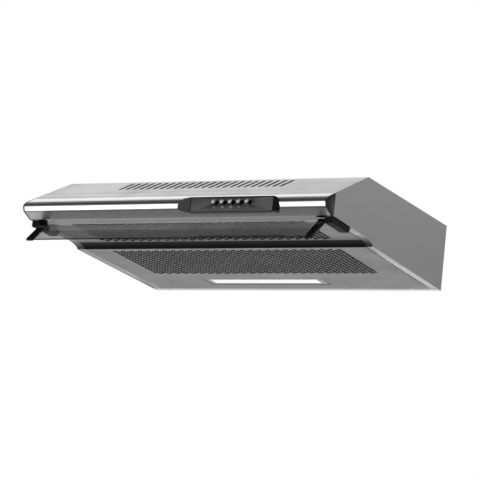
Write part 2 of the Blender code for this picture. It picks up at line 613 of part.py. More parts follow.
def make_filter_grille():
    place = tilted(-STEP_DEPTH)
    reach = HALF - FLANGE - GRILLE_SEAM
    start = STRIP_THICKNESS + 2 * GAP
    end = (STEP_DEPTH - REAR_FLANGE) / math.cos(UNDERSIDE_TILT) - 2 * GRILLE_SEAM
    hinge_y = -HINGE_BACK
    axis = (hinge_y, rear_line(hinge_y) + HINGE_RISE)
    grille = box("filter_grille", (-reach, start, 0), (reach, end, SHEET), "steel", place)
    for sign in (-1, 1):
        near, far = sorted((sign * reach, sign * (reach - SHEET)))
        lip_end = end - 2 * KNUCKLE_RADIUS - LIP_SHORT
        lip_low = (near, start + LIP_START, 0)
        join(grille, box("lip", lip_low, (far, lip_end, TRAY_LIP), "steel", place))
        near, far = sorted((sign * HINGE_X, sign * (HINGE_X + KNUCKLE_LENGTH)))
        join(grille, rod("knuckle", KNUCKLE_RADIUS, axis, near, far, "steel"))
        cut(grille, rod("bore", HINGE_PIN_RADIUS + GAP, axis, near - SHEET, far + SHEET, "steel"))
        ear_start = HINGE_X + KNUCKLE_LENGTH
        near, far = sorted((sign * ear_start, sign * (ear_start + EAR_LENGTH + SHEET)))
        notch_low = (near, end - NOTCH_DEPTH, -THROUGH)
        cut(grille, box("notch", notch_low, (far, end + THROUGH, THROUGH), "steel", place))
    window = tilted(-LAMP_BACK)
    low = (LAMP_X - LAMP_LENGTH / 2, -LAMP_DEPTH / 2, -THROUGH)
    high = (LAMP_X + LAMP_LENGTH / 2, LAMP_DEPTH / 2, THROUGH)
    cut(grille, box("window", low, high, "steel", window))

    strip = ribbon(step_arc(0, STRIP_TURN), -STRIP_THICKNESS)
    prism("grille_handle_strip", strip, -reach, reach, "black")

    filter_reach = reach - SHEET - FILTER_MARGIN
    filter_end = STEP_DEPTH - LAMP_BACK - LAMP_DEPTH / 2 - FILTER_END
    low = (-filter_reach, start + FILTER_FRONT, SHEET + GAP)
    high = (filter_reach, filter_end, SHEET + GAP + FILTER_THICKNESS)
    box("grease_filter", low, high, "mesh", place)
    clip_z = SHEET + GAP + FILTER_THICKNESS + CLIP_RADIUS + GAP
    clip_reach = reach - SHEET - GAP
    for label, clip_y in CLIP_PLACES:
        at = place @ Vector((0, clip_y, clip_z))
        rod(f"filter_clip_{label}", CLIP_RADIUS, (at.y, at.z), -clip_reach, clip_reach, "zinc", 8)

    flange_top = rear_line(-REAR_FLANGE) + SHEET + 2 * GAP
    wall = -SHEET - GAP
    ear = [
        (wall, axis[1] + EAR_RISE),
        (hinge_y, axis[1] + KNUCKLE_RADIUS),
        (hinge_y - KNUCKLE_RADIUS, axis[1]),
        (hinge_y, axis[1] - KNUCKLE_RADIUS),
        (-REAR_FLANGE - 2 * GAP, axis[1] - KNUCKLE_RADIUS),
        (-REAR_FLANGE - 2 * GAP, flange_top),
        (wall, flange_top),
    ]
    for label, sign in (("left", -1), ("right", 1)):
        ear_start = HINGE_X + KNUCKLE_LENGTH + GAP
        near, far = sorted((sign * ear_start, sign * (ear_start + EAR_LENGTH)))
        clip = prism(f"hinge_clip_{label}", ear, near, far, "zinc")
        cut(clip, rod("bore", HINGE_PIN_RADIUS + GAP, axis, near - SHEET, far + SHEET, "zinc"))
        near, far = sorted((sign * (HINGE_X - SHEET), sign * (ear_start + EAR_LENGTH + SHEET)))
        rod(f"grille_hinge_pin_{label}", HINGE_PIN_RADIUS, axis, near, far, "zinc")


def frustum(name, low, high, finish, place):
    # a tapered block between two rectangles given as (x, y half sizes, centre x, z)
    bm = bmesh.new()
    for half_x, half_y, centre, z in (low, high):
        for x in (-half_x, half_x):
            for y in (-half_y, half_y):
                bm.verts.new((centre + x, y, z))
    bmesh.ops.convex_hull(bm, input=bm.verts)
    bm.transform(place)
    return add(name, bm, finish)


def make_lamp():
    place = tilted(-LAMP_BACK)
    half_x, half_y = LAMP_LENGTH / 2 - GRILLE_SEAM, LAMP_DEPTH / 2 - GRILLE_SEAM
    base = LAMP_INSET
    low = (LAMP_X - half_x, -half_y, base)
    high = (LAMP_X + half_x - LAMP_END_GAP, half_y, LAMP_HEIGHT)
    housing = box("light_housing", low, high, "lamp_grey", place)
    seat = base + LENS_RECESS
    lens_x = LAMP_X + LENS_SHIFT
    half_length, half_depth = LENS_LENGTH / 2, LENS_DEPTH / 2
    mouth = (half_length + LENS_BEVEL, half_depth + LENS_BEVEL, lens_x, base - SHEET)
    throat = (half_length - SHEET, half_depth - SHEET, lens_x, seat + SHEET)
    cut(housing, frustum("mouth", mouth, throat, "lamp_grey", place))
    ceiling = LAMP_HEIGHT - LAMP_WALL
    seat_low = (lens_x - half_length - GAP, -half_depth - GAP, seat)
    seat_high = (lens_x + half_length + GAP, half_depth + GAP, ceiling)
    cut(housing, box("seat", seat_low, seat_high, "lamp_grey", place))
    lens_low = (lens_x - half_length, -half_depth, seat + GAP)
    lens_high = (lens_x + half_length, half_depth, seat + GAP + LENS_THICKNESS)
    box("light_lens", lens_low, lens_high, "lens", place)
    board_x, board_y = half_length - LED_MARGIN[0], half_depth - LED_MARGIN[1]
    board_low = (lens_x - board_x, -board_y, ceiling - GAP - BOARD)
    board_high = (lens_x + board_x, board_y, ceiling - GAP)
    box("led_board", board_low, board_high, "white", place)
    rest = place @ Vector((0, LAMP_DEPTH / 2, LAMP_HEIGHT))
    top = place @ Vector((0, -LAMP_DEPTH / 4, LAMP_HEIGHT + 2 * GAP))
    shelf = rest.z + GAP + SHEET
    wall = -SHEET - 2 * GAP
    level = max(shelf, top.z)
    hanger_path = ((top.y, level), (wall, level), (wall, shelf + LAMP_HANGER_TAB))
    hanger = ribbon(hanger_path, LAMP_HANGER_SHEET)
    for label, sign in (("left", -1), ("right", 1)):
        centre = LAMP_X + sign * LAMP_LENGTH / 3
        hanger_x = (centre - LAMP_HANGER_HALF, centre + LAMP_HANGER_HALF)
        prism(f"light_bracket_{label}", hanger, *hanger_x, "zinc")


def tube(name, outer, inner, centre, x_low, x_high, finish, sides=ROUND):
    pipe = prism(name, circle(outer, sides, centre), x_low, x_high, finish)
    bore = circle(inner, sides, centre)
    return cut(pipe, prism("bore", bore, x_low - SHEET, x_high + SHEET, finish))


def make_blower():
    half = SCROLL_LENGTH / 2
    top = -SHEET - 2 * GAP - SHEET - GAP
    back, front = BLOWER[0] + PLENUM_HALF, BLOWER[0] - PLENUM_HALF
    sides = [(front, top - PLENUM_HEIGHT), (back, top - PLENUM_HEIGHT), (back, top), (front, top)]
    housing = prism("blower_housing", circle(SCROLL_RADIUS, ROUND, BLOWER), -half, half, "housing_grey")
    join(housing, prism("plenum", sides, -half, half, "housing_grey"))
    room = half - SCROLL_WALL
    hollow = circle(SCROLL_RADIUS - SCROLL_WALL, ROUND, BLOWER)
    cut(housing, prism("room", hollow, -room, room, "housing_grey"))
    inside = [
        (front + SCROLL_WALL, top - PLENUM_HEIGHT + SCROLL_WALL),
        (back - SCROLL_WALL, top - PLENUM_HEIGHT + SCROLL_WALL),
        (back - SCROLL_WALL, THROUGH),
        (front + SCROLL_WALL, THROUGH),
    ]
    cut(housing, prism("inside", inside, -room, room, "housing_grey"))
    inlets = circle(INLET_RADIUS, ROUND, BLOWER)
    cut(housing, prism("inlets", inlets, -half - THROUGH, half + THROUGH, "housing_grey"))

    tube_bore = SHAFT_RADIUS + GAP
    motor_half = MOTOR_LENGTH / 2
    boss_half = motor_half + 3 * MOTOR_BRACKET
    motor = prism("motor_body", circle(MOTOR_RADIUS, ROUND, BLOWER), -motor_half, motor_half, "zinc")
    join(motor, prism("boss", circle(MOTOR_BOSS, 16, BLOWER), -boss_half, boss_half, "zinc"))
    cut(motor, prism("bore", circle(tube_bore, 16, BLOWER), -half, half, "zinc"))
    impeller_start = boss_half + IMPELLER_CLEAR
    shaft_half = impeller_start + IMPELLER_LENGTH + SHAFT_END
    prism("motor_shaft", circle(SHAFT_RADIUS, 16, BLOWER), -shaft_half, shaft_half, "zinc")

    bar_reach = math.sqrt((SCROLL_RADIUS - SCROLL_WALL) ** 2 - MOTOR_BRACKET_HALF**2)
    bar_half = bar_reach - MOTOR_BRACKET_FIT
    bar_start = boss_half - MOTOR_BRACKET_LAP
    for label, sign in (("left", -1), ("right", 1)):
        bar_x = sorted((sign * bar_start, sign * (bar_start - MOTOR_BRACKET)))
        bar = [
            (BLOWER[0] - MOTOR_BRACKET_HALF, BLOWER[1] - bar_half),
            (BLOWER[0] + MOTOR_BRACKET_HALF, BLOWER[1] - bar_half),
            (BLOWER[0] + MOTOR_BRACKET_HALF, BLOWER[1] + bar_half),
            (BLOWER[0] - MOTOR_BRACKET_HALF, BLOWER[1] + bar_half),
        ]
        bracket = prism(f"motor_bracket_{label}", bar, *bar_x, "zinc")
        cut(bracket, prism("bore", circle(MOTOR_BOSS + GAP, 16, BLOWER), -half, half, "zinc"))

        disc = circle(IMPELLER_RADIUS, ROUND, BLOWER)
        disc_x = sorted((sign * impeller_start, sign * (impeller_start + IMPELLER_DISC)))
        impeller = prism(f"impeller_{label}", disc, *disc_x, "housing_grey")
        hub_x = sorted((sign * impeller_start, sign * (impeller_start + HUB_LENGTH)))
        join(impeller, prism("hub", circle(HUB_RADIUS, 16, BLOWER), *hub_x, "housing_grey"))
        far = impeller_start + IMPELLER_LENGTH
        blade_x = sorted((sign * (impeller_start + SHEET), sign * (far - SHEET)))
        join(impeller, blade_ring(*blade_x))
        ring_x = sorted((sign * (far - IMPELLER_DISC), sign * far))
        ring_inner = IMPELLER_RADIUS - BLADE_DEPTH
        join(impeller, tube("ring", IMPELLER_RADIUS, ring_inner, BLOWER, *ring_x, "housing_grey"))
        cut(impeller, prism("bore", circle(tube_bore, 16, BLOWER), -half, half, "housing_grey"))

        mouth_x = sorted((sign * (half - 2 * SCROLL_WALL), sign * (half + SCROLL_WALL)))
        inner = INLET_RADIUS - INLET_WALL
        ring = tube(f"inlet_ring_{label}", INLET_RADIUS - GAP, inner, BLOWER, *mouth_x, "housing_grey")
        lip_x = sorted((sign * (half + GAP), sign * (half + SCROLL_WALL)))
        lip_outer = INLET_RADIUS + INLET_LIP
        join(ring, tube("lip", lip_outer, inner + SHEET, BLOWER, *lip_x, "housing_grey"))


def blade_ring(x_low, x_high):
    # straight radial blades as one tool, between the impeller's disc and its rim
    inner, outer = IMPELLER_RADIUS - BLADE_DEPTH + 0.0005, IMPELLER_RADIUS - 0.0005
    bm = bmesh.new()
    for k in range(BLADE_COUNT):
        turn = 2 * math.pi * k / BLADE_COUNT
        out = Vector((math.cos(turn), math.sin(turn)))
        side = Vector((-out.y, out.x)) * BLADE_THICKNESS / 2
        rim = [out * inner - side, out * outer - side, out * outer + side, out * inner + side]
        face = bm.faces.new([bm.verts.new((p.x + BLOWER[0], p.y + BLOWER[1], x_low)) for p in rim])
        grown = bmesh.ops.extrude_face_region(bm, geom=[face])["geom"]
        moved = [part for part in grown if isinstance(part, bmesh.types.BMVert)]
        bmesh.ops.translate(bm, verts=moved, vec=(0, 0, x_high - x_low))
    bm.transform(ACROSS)
    return add("blades", bm, "housing_grey")


def make_duct():
    centre = (0, -BLOWER_BACK)
    base = -SHEET - GAP - SHEET
    inner = DUCT_RADIUS - DUCT_WALL
    half = DUCT_RADIUS + COLLAR_MARGIN
    wall = circle(DUCT_RADIUS, ROUND, centre)
    collar = prism("outlet_collar", wall, base, DUCT_HEIGHT, "black", Matrix())
    plate_low = (-half, centre[1] - half, base)
    join(collar, box("base", plate_low, (half, centre[1] + half, base + SHEET), "black"))
    bore = circle(inner, ROUND, centre)
    cut(collar, prism("bore", bore, base - THROUGH, DUCT_HEIGHT + THROUGH, "black", Matrix()))
    ledge_top = FLAP_AXIS_RISE - FLAP_SHEET
    ledge_outline = circle(inner + DUCT_WALL / 2, ROUND, centre)
    ledge = prism("ledge", ledge_outline, ledge_top - LEDGE_SHEET, ledge_top, "black", Matrix())
    ledge_bore = circle(inner - LEDGE_WIDTH, ROUND, centre)
    cut(ledge, prism("bore", ledge_bore, -THROUGH, THROUGH, "black", Matrix()))
    join(collar, ledge)
    axis = (-BLOWER_BACK, FLAP_AXIS_RISE)
    cut(collar, rod("bore", FLAP_PIN_RADIUS + GAP, axis, -half, half, "black"))
    rod("flap_pin", FLAP_PIN_RADIUS, axis, -DUCT_RADIUS + SHEET, DUCT_RADIUS - SHEET, "zinc")

    radius = inner - FLAP_PLAY
    chord = FLAP_EYE_RADIUS + FLAP_CHORD
    arc_start = math.asin(chord / radius)
    for label, spin in (("front", 0), ("rear", math.pi)):
        place = Matrix.Translation((0, -BLOWER_BACK, FLAP_AXIS_RISE)) @ Matrix.Rotation(spin, 4, "Z")
        outline = []
        for k in range(17):
            turn = math.pi + arc_start + (math.pi - 2 * arc_start) * k / 16
            outline.append((radius * math.cos(turn), radius * math.sin(turn)))
        flap = prism(f"flap_{label}", outline, -FLAP_SHEET / 2, FLAP_SHEET / 2, "zinc", place)
        across = place @ ACROSS
        for x in FLAP_EYES:
            eye_end = x + FLAP_EYE_LENGTH
            tongue_low = (x, -chord - 2 * FLAP_SHEET, -FLAP_SHEET / 2)
            tongue_high = (eye_end, 0, FLAP_SHEET / 2)
            join(flap, box("tongue", tongue_low, tongue_high, "zinc", place))
            eye = circle(FLAP_EYE_RADIUS, SMALL_ROUND)
            join(flap, prism("eye", eye, x, eye_end, "zinc", across))
        pin_hole = circle(FLAP_PIN_RADIUS + GAP, SMALL_ROUND)
        cut(flap, prism("bore", pin_hole, -radius, radius, "zinc", across))


def make_electrics():
    top = -SHEET - GAP
    wall = -SHEET - 2 * GAP
    length, depth, height = DRIVER_SIZE
    driver_x, driver_y = -HALF + DRIVER_INSET, -DRIVER_BACK
    driver_high = (driver_x + length, driver_y + depth, top)
    box("led_driver", (driver_x, driver_y, top - height), driver_high, "white")
    length, depth, height = TERMINAL_SIZE
    terminal_x = GLAND_X - TERMINAL_LEFT
    terminal_high = (terminal_x + length, wall, -TERMINAL_DROP + height)
    box("terminal_box", (terminal_x, wall - depth, -TERMINAL_DROP), terminal_high, "white")
    can_x, can_y = GLAND_X - CAPACITOR_LEFT, -CAPACITOR_BACK
    can_axis = (can_y, top - CAPACITOR_RADIUS - CAPACITOR_DROP)
    rod("capacitor", CAPACITOR_RADIUS, can_axis, can_x, can_x + CAPACITOR_LENGTH, "white", 24)
    centre = (GLAND_X, -GLAND_BACK)
    barrel = circle(GLAND_RADIUS, SMALL_ROUND, centre)
    gland = prism("cable_gland", barrel, -GLAND_LENGTH, 0, "black", Matrix())
    nut = circle(GLAND_RADIUS + GLAND_NUT_EDGE, 6, centre)
    join(gland, prism("nut", nut, top - GLAND_NUT, top, "black", Matrix()))
    wire_hole = circle(GLAND_BORE, SMALL_ROUND, centre)
    cut(gland, prism("bore", wire_hole, -GLAND_LENGTH - THROUGH, THROUGH, "black", Matrix()))


for old in list(bpy.data.objects):
    bpy.data.objects.remove(old)
make_panels()
make_nose()
make_controls()
make_visor()
make_front_grille()
make_filter_grille()
make_lamp()
make_blower()
make_duct()
make_electrics()
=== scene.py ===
# Under-cabinet range hood: steel casing, slotted slope, polished nose, folding visor
import json
import math

import bmesh
import bpy
from mathutils import Matrix, Vector

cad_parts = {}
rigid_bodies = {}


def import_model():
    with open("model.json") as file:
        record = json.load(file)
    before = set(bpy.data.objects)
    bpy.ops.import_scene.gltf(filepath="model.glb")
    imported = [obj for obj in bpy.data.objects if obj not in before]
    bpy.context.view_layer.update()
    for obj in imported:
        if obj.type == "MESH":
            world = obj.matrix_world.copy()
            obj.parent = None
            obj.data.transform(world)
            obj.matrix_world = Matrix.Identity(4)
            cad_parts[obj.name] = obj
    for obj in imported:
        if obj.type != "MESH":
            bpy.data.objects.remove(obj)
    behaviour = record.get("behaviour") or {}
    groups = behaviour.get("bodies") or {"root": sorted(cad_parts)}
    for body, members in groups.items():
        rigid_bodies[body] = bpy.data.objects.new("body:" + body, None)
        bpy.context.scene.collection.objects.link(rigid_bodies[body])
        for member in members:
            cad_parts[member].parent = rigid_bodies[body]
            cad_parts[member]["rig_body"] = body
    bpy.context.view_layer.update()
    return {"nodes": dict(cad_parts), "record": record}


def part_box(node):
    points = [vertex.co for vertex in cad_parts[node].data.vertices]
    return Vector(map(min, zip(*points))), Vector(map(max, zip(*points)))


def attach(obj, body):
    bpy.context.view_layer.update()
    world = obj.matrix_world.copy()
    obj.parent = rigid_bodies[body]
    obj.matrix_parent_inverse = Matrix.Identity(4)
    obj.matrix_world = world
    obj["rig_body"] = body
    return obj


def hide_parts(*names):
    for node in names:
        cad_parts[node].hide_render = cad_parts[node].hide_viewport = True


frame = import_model()
nodes = frame["nodes"]
print("frame loaded:", len(nodes), "nodes")


# ---- node helpers

def addNode(tree, kind, values=None, **settings):
    node = tree.nodes.new(kind)
    for key, value in settings.items():
        setattr(node, key, value)
    for key, value in (values or {}).items():
        node.inputs[key].default_value = value
    return node


def addMath(tree, operation, *values):
    # a maths node; each value is a socket or a number, and its result comes back
    node = addNode(tree, "ShaderNodeMath", operation=operation)
    for k, value in enumerate(values):
        if isinstance(value, (int, float)):
            node.inputs[k].default_value = value
        else:
            tree.links.new(value, node.inputs[k])
    return node.outputs[0]


def openGroup(name, kind, inputs, outputs):
    tree = bpy.data.node_groups.new(name, kind)
    for label, socketKind, value in inputs:
        socket = tree.interface.new_socket(label, in_out="INPUT", socket_type=socketKind)
        if value is not None:
            socket.default_value = value
    for label, socketKind in outputs:
        tree.interface.new_socket(label, in_out="OUTPUT", socket_type=socketKind)
    start = tree.nodes.new("NodeGroupInput")
    end = tree.nodes.new("NodeGroupOutput")
    return tree, start, end


def buildGrainGroup():
    # fine parallel scratches; the vector comes in already stretched along the brushing
    tree, start, end = openGroup(
        "brushedGrain",
        "ShaderNodeTree",
        (
            ("Vector", "NodeSocketVector", None),
            ("Color", "NodeSocketColor", (0.6, 0.6, 0.6, 1)),
            ("Tone Spread", "NodeSocketFloat", 0.05),
            ("Rough Low", "NodeSocketFloat", 0.25),
            ("Rough High", "NodeSocketFloat", 0.4),
        ),
        (("Color", "NodeSocketColor"), ("Roughness", "NodeSocketFloat"), ("Height", "NodeSocketFloat")),
    )
    link = tree.links.new
    fine = addNode(tree, "ShaderNodeTexNoise", {"Scale": 1.0, "Detail": 3.0, "Roughness": 0.6})
    broad = addNode(tree, "ShaderNodeTexNoise", {"Scale": 0.11, "Detail": 2.0})
    halfBroad = addMath(tree, "MULTIPLY", broad.outputs[0], 0.5)
    both = addMath(tree, "MULTIPLY_ADD", fine.outputs[0], 0.5, halfBroad)
    swing = addMath(tree, "MULTIPLY", addMath(tree, "SUBTRACT", both, 0.5), 4.0)
    tone = addMath(tree, "MULTIPLY_ADD", swing, start.outputs["Tone Spread"], 1.0)
    tinted = addNode(tree, "ShaderNodeVectorMath", operation="SCALE")
    rough = addNode(tree, "ShaderNodeMapRange", {"From Min": 0.3, "From Max": 0.7})
    for texture in (fine, broad):
        link(start.outputs["Vector"], texture.inputs["Vector"])
    link(start.outputs["Color"], tinted.inputs[0])
    link(tone, tinted.inputs["Scale"])
    link(both, rough.inputs["Value"])
    link(start.outputs["Rough Low"], rough.inputs["To Min"])
    link(start.outputs["Rough High"], rough.inputs["To Max"])
    link(tinted.outputs[0], end.inputs["Color"])
    link(rough.outputs[0], end.inputs["Roughness"])
    link(both, end.inputs["Height"])
    return tree


def buildHandlingGroup():
    # faint wiped patches, where hands and cloths have been
    tree, start, end = openGroup(
        "handlingMarks",
        "ShaderNodeTree",
        (
            ("Vector", "NodeSocketVector", None),
            ("Roughness", "NodeSocketFloat", 0.3),
            ("Patch Scale", "NodeSocketFloat", 9.0),
            ("Amount", "NodeSocketFloat", 0.06),
        ),
        (("Roughness", "NodeSocketFloat"),),
    )
    link = tree.links.new
    patches = addNode(tree, "ShaderNodeTexNoise", {"Detail": 4.0, "Roughness": 0.55, "Distortion": 0.6})
    spread = addNode(tree, "ShaderNodeMapRange", {"From Min": 0.4, "From Max": 0.65, "To Min": 0.0})
    total = addNode(tree, "ShaderNodeMath", operation="ADD", use_clamp=True)
    link(start.outputs["Vector"], patches.inputs["Vector"])
    link(start.outputs["Patch Scale"], patches.inputs["Scale"])
    link(patches.outputs[0], spread.inputs["Value"])
    link(start.outputs["Amount"], spread.inputs["To Max"])
    link(start.outputs["Roughness"], total.inputs[0])
    link(spread.outputs[0], total.inputs[1])
    link(total.outputs[0], end.inputs["Roughness"])
    return tree


def buildSkinGroup():
    # the fine pebbled skin of a moulding
    tree, start, end = openGroup(
        "mouldedSkin",
        "ShaderNodeTree",
        (
            ("Vector", "NodeSocketVector", None),
            ("Color", "NodeSocketColor", (0.1, 0.1, 0.1, 1)),
            ("Pebble Scale", "NodeSocketFloat", 1400.0),
            ("Tone Spread", "NodeSocketFloat", 0.12),
            ("Roughness", "NodeSocketFloat", 0.45),
        ),
        (("Color", "NodeSocketColor"), ("Roughness", "NodeSocketFloat"), ("Height", "NodeSocketFloat")),
    )
    link = tree.links.new
    pebble = addNode(tree, "ShaderNodeTexNoise", {"Detail": 2.0, "Roughness": 0.5})
    cloud = addNode(tree, "ShaderNodeTexNoise", {"Scale": 22.0, "Detail": 3.0})
    tone = addNode(tree, "ShaderNodeMapRange", {"From Min": 0.3, "From Max": 0.7})
    spread = start.outputs["Tone Spread"]
    tinted = addNode(tree, "ShaderNodeVectorMath", operation="SCALE")
    rough = addMath(tree, "MULTIPLY_ADD", cloud.outputs[0], 0.12, start.outputs["Roughness"])
    link(start.outputs["Vector"], pebble.inputs["Vector"])
    link(start.outputs["Vector"], cloud.inputs["Vector"])
    link(start.outputs["Pebble Scale"], pebble.inputs["Scale"])
    link(cloud.outputs[0], tone.inputs["Value"])
    link(addMath(tree, "SUBTRACT", 1.0, spread), tone.inputs["To Min"])
    link(addMath(tree, "ADD", 1.0, spread), tone.inputs["To Max"])
    link(start.outputs["Color"], tinted.inputs[0])
    link(tone.outputs[0], tinted.inputs["Scale"])
    link(tinted.outputs[0], end.inputs["Color"])
    link(rough, end.inputs["Roughness"])
    link(pebble.outputs[0], end.inputs["Height"])
    return tree


grainGroup = buildGrainGroup()
handlingGroup = buildHandlingGroup()
skinGroup = buildSkinGroup()


def newMaterial(name):
    made = bpy.data.materials.new(name)
    made.use_nodes = True
    tree = made.node_tree
    shader = tree.nodes["Principled BSDF"]
    place = tree.nodes.new("ShaderNodeTexCoord")
    return made, tree, shader, place.outputs["Object"]


def addBump(tree, shader, height, strength, distance):
    bump = addNode(tree, "ShaderNodeBump", {"Strength": strength, "Distance": distance})
    tree.links.new(height, bump.inputs["Height"])
    tree.links.new(bump.outputs[0], shader.inputs["Normal"])


# stretch: how the grain is drawn out, long along the brushing and close across it
steelLooks = {
    "casingSteel": {
        "color": 0.62, "spread": 0.050, "rough": (0.24, 0.34), "stretch": (5, 820, 820), "bump": 0.05,
    },
    "sideSteel": {
        "color": 0.46, "spread": 0.050, "rough": (0.26, 0.36), "stretch": (820, 5, 820), "bump": 0.05,
    },
    "grilleSteel": {
        "color": 0.205, "spread": 0.040, "rough": (0.28, 0.38), "stretch": (5, 820, 820), "bump": 0.05,
    },
    "railSteel": {
        "color": 0.92, "spread": 0.020, "rough": (0.42, 0.46), "stretch": (5, 300, 300), "bump": 0.01,
    },
    "noseSteel": {
        "color": 0.66, "spread": 0.012, "rough": (0.10, 0.13), "stretch": (4, 600, 600), "bump": 0.01,
    },
    "zincSteel": {
        "color": 0.52, "spread": 0.120, "rough": (0.30, 0.46), "stretch": (140, 140, 140), "bump": 0.06,
    },
    "motorSteel": {
        "color": 0.34, "spread": 0.100, "rough": (0.34, 0.48), "stretch": (900, 60, 60), "bump": 0.06,
    },
}


def steelMaterial(name):
    look = steelLooks[name]
    made, tree, shader, place = newMaterial(name)
    link = tree.links.new
    stretch = addNode(tree, "ShaderNodeMapping", {"Scale": look["stretch"]})
    grain = addNode(tree, "ShaderNodeGroup", node_tree=grainGroup)
    marks = addNode(tree, "ShaderNodeGroup", node_tree=handlingGroup)
    grain.inputs["Color"].default_value = (look["color"],) * 3 + (1,)
    grain.inputs["Tone Spread"].default_value = look["spread"]
    grain.inputs["Rough Low"].default_value, grain.inputs["Rough High"].default_value = look["rough"]
    marks.inputs["Amount"].default_value = 0.05
    shader.inputs["Metallic"].default_value = 1.0
    link(place, stretch.inputs["Vector"])
    link(stretch.outputs[0], grain.inputs["Vector"])
    link(place, marks.inputs["Vector"])
    link(grain.outputs["Roughness"], marks.inputs["Roughness"])
    link(marks.outputs[0], shader.inputs["Roughness"])
    link(grain.outputs["Color"], shader.inputs["Base Color"])
    addBump(tree, shader, grain.outputs["Height"], look["bump"], 0.001)
    return made


mouldedLooks = {
    "blackMoulding": {"color": (0.004, 0.004, 0.0045), "rough": 0.20, "bump": 0.06, "gloss": 0.25},
    "bracketBlack": {"color": (0.014, 0.014, 0.014), "rough": 0.50, "bump": 0.06, "gloss": 0.12},
    "softBlack": {"color": (0.005, 0.005, 0.005), "rough": 0.38, "bump": 0.08, "gloss": 0.12},
    "capGrey": {"color": (0.034, 0.034, 0.035), "rough": 0.45, "bump": 0.08},
    "faceGrey": {"color": (0.185, 0.185, 0.187), "rough": 0.60, "bump": 0.05},
    "lampGrey": {"color": (0.66, 0.66, 0.70), "rough": 0.40, "bump": 0.05},
    "greyMoulding": {"color": (0.13, 0.13, 0.14), "rough": 0.50, "bump": 0.12},
    "flapMoulding": {"color": (0.07, 0.07, 0.07), "rough": 0.45, "bump": 0.10},
    "whiteMoulding": {"color": (0.72, 0.72, 0.69), "rough": 0.42, "bump": 0.08},
    "boardGreen": {"color": (0.015, 0.11, 0.045), "rough": 0.38, "bump": 0.05, "coat": 0.4},
    "printedMark": {"color": (0.85, 0.85, 0.86), "rough": 0.50, "bump": 0.03},
    "markDark": {"color": (0.010, 0.010, 0.010), "rough": 0.55, "bump": 0.03},
}


def mouldedMaterial(name):
    look = mouldedLooks[name]
    made, tree, shader, place = newMaterial(name)
    link = tree.links.new
    skin = addNode(tree, "ShaderNodeGroup", node_tree=skinGroup)
    skin.inputs["Color"].default_value = look["color"] + (1,)
    skin.inputs["Roughness"].default_value = look["rough"]
    shader.inputs["Coat Weight"].default_value = look.get("coat", 0.0)
    shader.inputs["Specular IOR Level"].default_value = look.get("gloss", 0.5)
    link(place, skin.inputs["Vector"])
    link(skin.outputs["Color"], shader.inputs["Base Color"])
    link(skin.outputs["Roughness"], shader.inputs["Roughness"])
    addBump(tree, shader, skin.outputs["Height"], look["bump"], 0.0004)
    return made


visorLook = {"tint": (0.135, 0.136, 0.138), "cover": 0.50, "spread": 0.02}
lensLook = {"color": (0.94, 0.94, 0.93), "glow": 0.55, "rib": 620.0}
matLook = {"color": (0.014, 0.014, 0.014), "fibre": 420.0}


def visorMaterial():
    # a thin smoked sheet: its cover is the share of light it stops, a little more where it is wiped
    made, tree, shader, place = newMaterial("smokedSheet")
    link = tree.links.new
    skin = addNode(tree, "ShaderNodeGroup", node_tree=skinGroup)
    marks = addNode(tree, "ShaderNodeGroup", node_tree=handlingGroup)
    skin.inputs["Color"].default_value = visorLook["tint"] + (1,)
    skin.inputs["Tone Spread"].default_value = 0.03
    marks.inputs["Roughness"].default_value = visorLook["cover"]
    marks.inputs["Amount"].default_value = visorLook["spread"]
    shader.inputs["Roughness"].default_value = 0.03
    link(place, skin.inputs["Vector"])
    link(place, marks.inputs["Vector"])
    link(skin.outputs["Color"], shader.inputs["Base Color"])
    link(marks.outputs[0], shader.inputs["Alpha"])
    return made


def lensMaterial():
    # an opal strip with fine ribs across it, lit from behind
    made, tree, shader, place = newMaterial("opalLens")
    link = tree.links.new
    skin = addNode(tree, "ShaderNodeGroup", node_tree=skinGroup)
    ribs = addNode(tree, "ShaderNodeTexWave", {"Scale": lensLook["rib"]}, bands_direction="X")
    skin.inputs["Color"].default_value = lensLook["color"] + (1,)
    skin.inputs["Tone Spread"].default_value = 0.02
    shader.inputs["Emission Color"].default_value = (1, 1, 0.98, 1)
    shader.inputs["Emission Strength"].default_value = lensLook["glow"]
    link(place, skin.inputs["Vector"])
    link(place, ribs.inputs["Vector"])
    link(skin.outputs["Color"], shader.inputs["Base Color"])
    link(skin.outputs["Roughness"], shader.inputs["Roughness"])
    addBump(tree, shader, ribs.outputs["Fac"], 0.15, 0.0004)
    return made


def matMaterial():
    # tangled fibres; their tone varies at random and also rises with the noise that lifts them, so they are
    # lighter where they stand up, painted light on the raised fibres
    made, tree, shader, place = newMaterial("fibreMat")
    link = tree.links.new
    fibres = addNode(tree, "ShaderNodeTexVoronoi", {"Scale": matLook["fibre"]}, feature="DISTANCE_TO_EDGE")
    tangle = addNode(tree, "ShaderNodeTexNoise", {"Scale": 90.0, "Detail": 5.0, "Distortion": 1.5})
    toneRange = {"From Min": 0.3, "From Max": 0.7, "To Min": 0.7, "To Max": 1.3}
    tone = addNode(tree, "ShaderNodeMapRange", toneRange)
    tinted = addNode(tree, "ShaderNodeVectorMath", {0: matLook["color"]}, operation="SCALE")
    height = addMath(tree, "ADD", fibres.outputs["Distance"], tangle.outputs[0])
    link(place, fibres.inputs["Vector"])
    link(place, tangle.inputs["Vector"])
    link(tangle.outputs[0], tone.inputs["Value"])
    link(tone.outputs[0], tinted.inputs["Scale"])
    link(tinted.outputs[0], shader.inputs["Base Color"])
    shader.inputs["Roughness"].default_value = 0.95
    addBump(tree, shader, height, 0.8, 0.002)
    return made


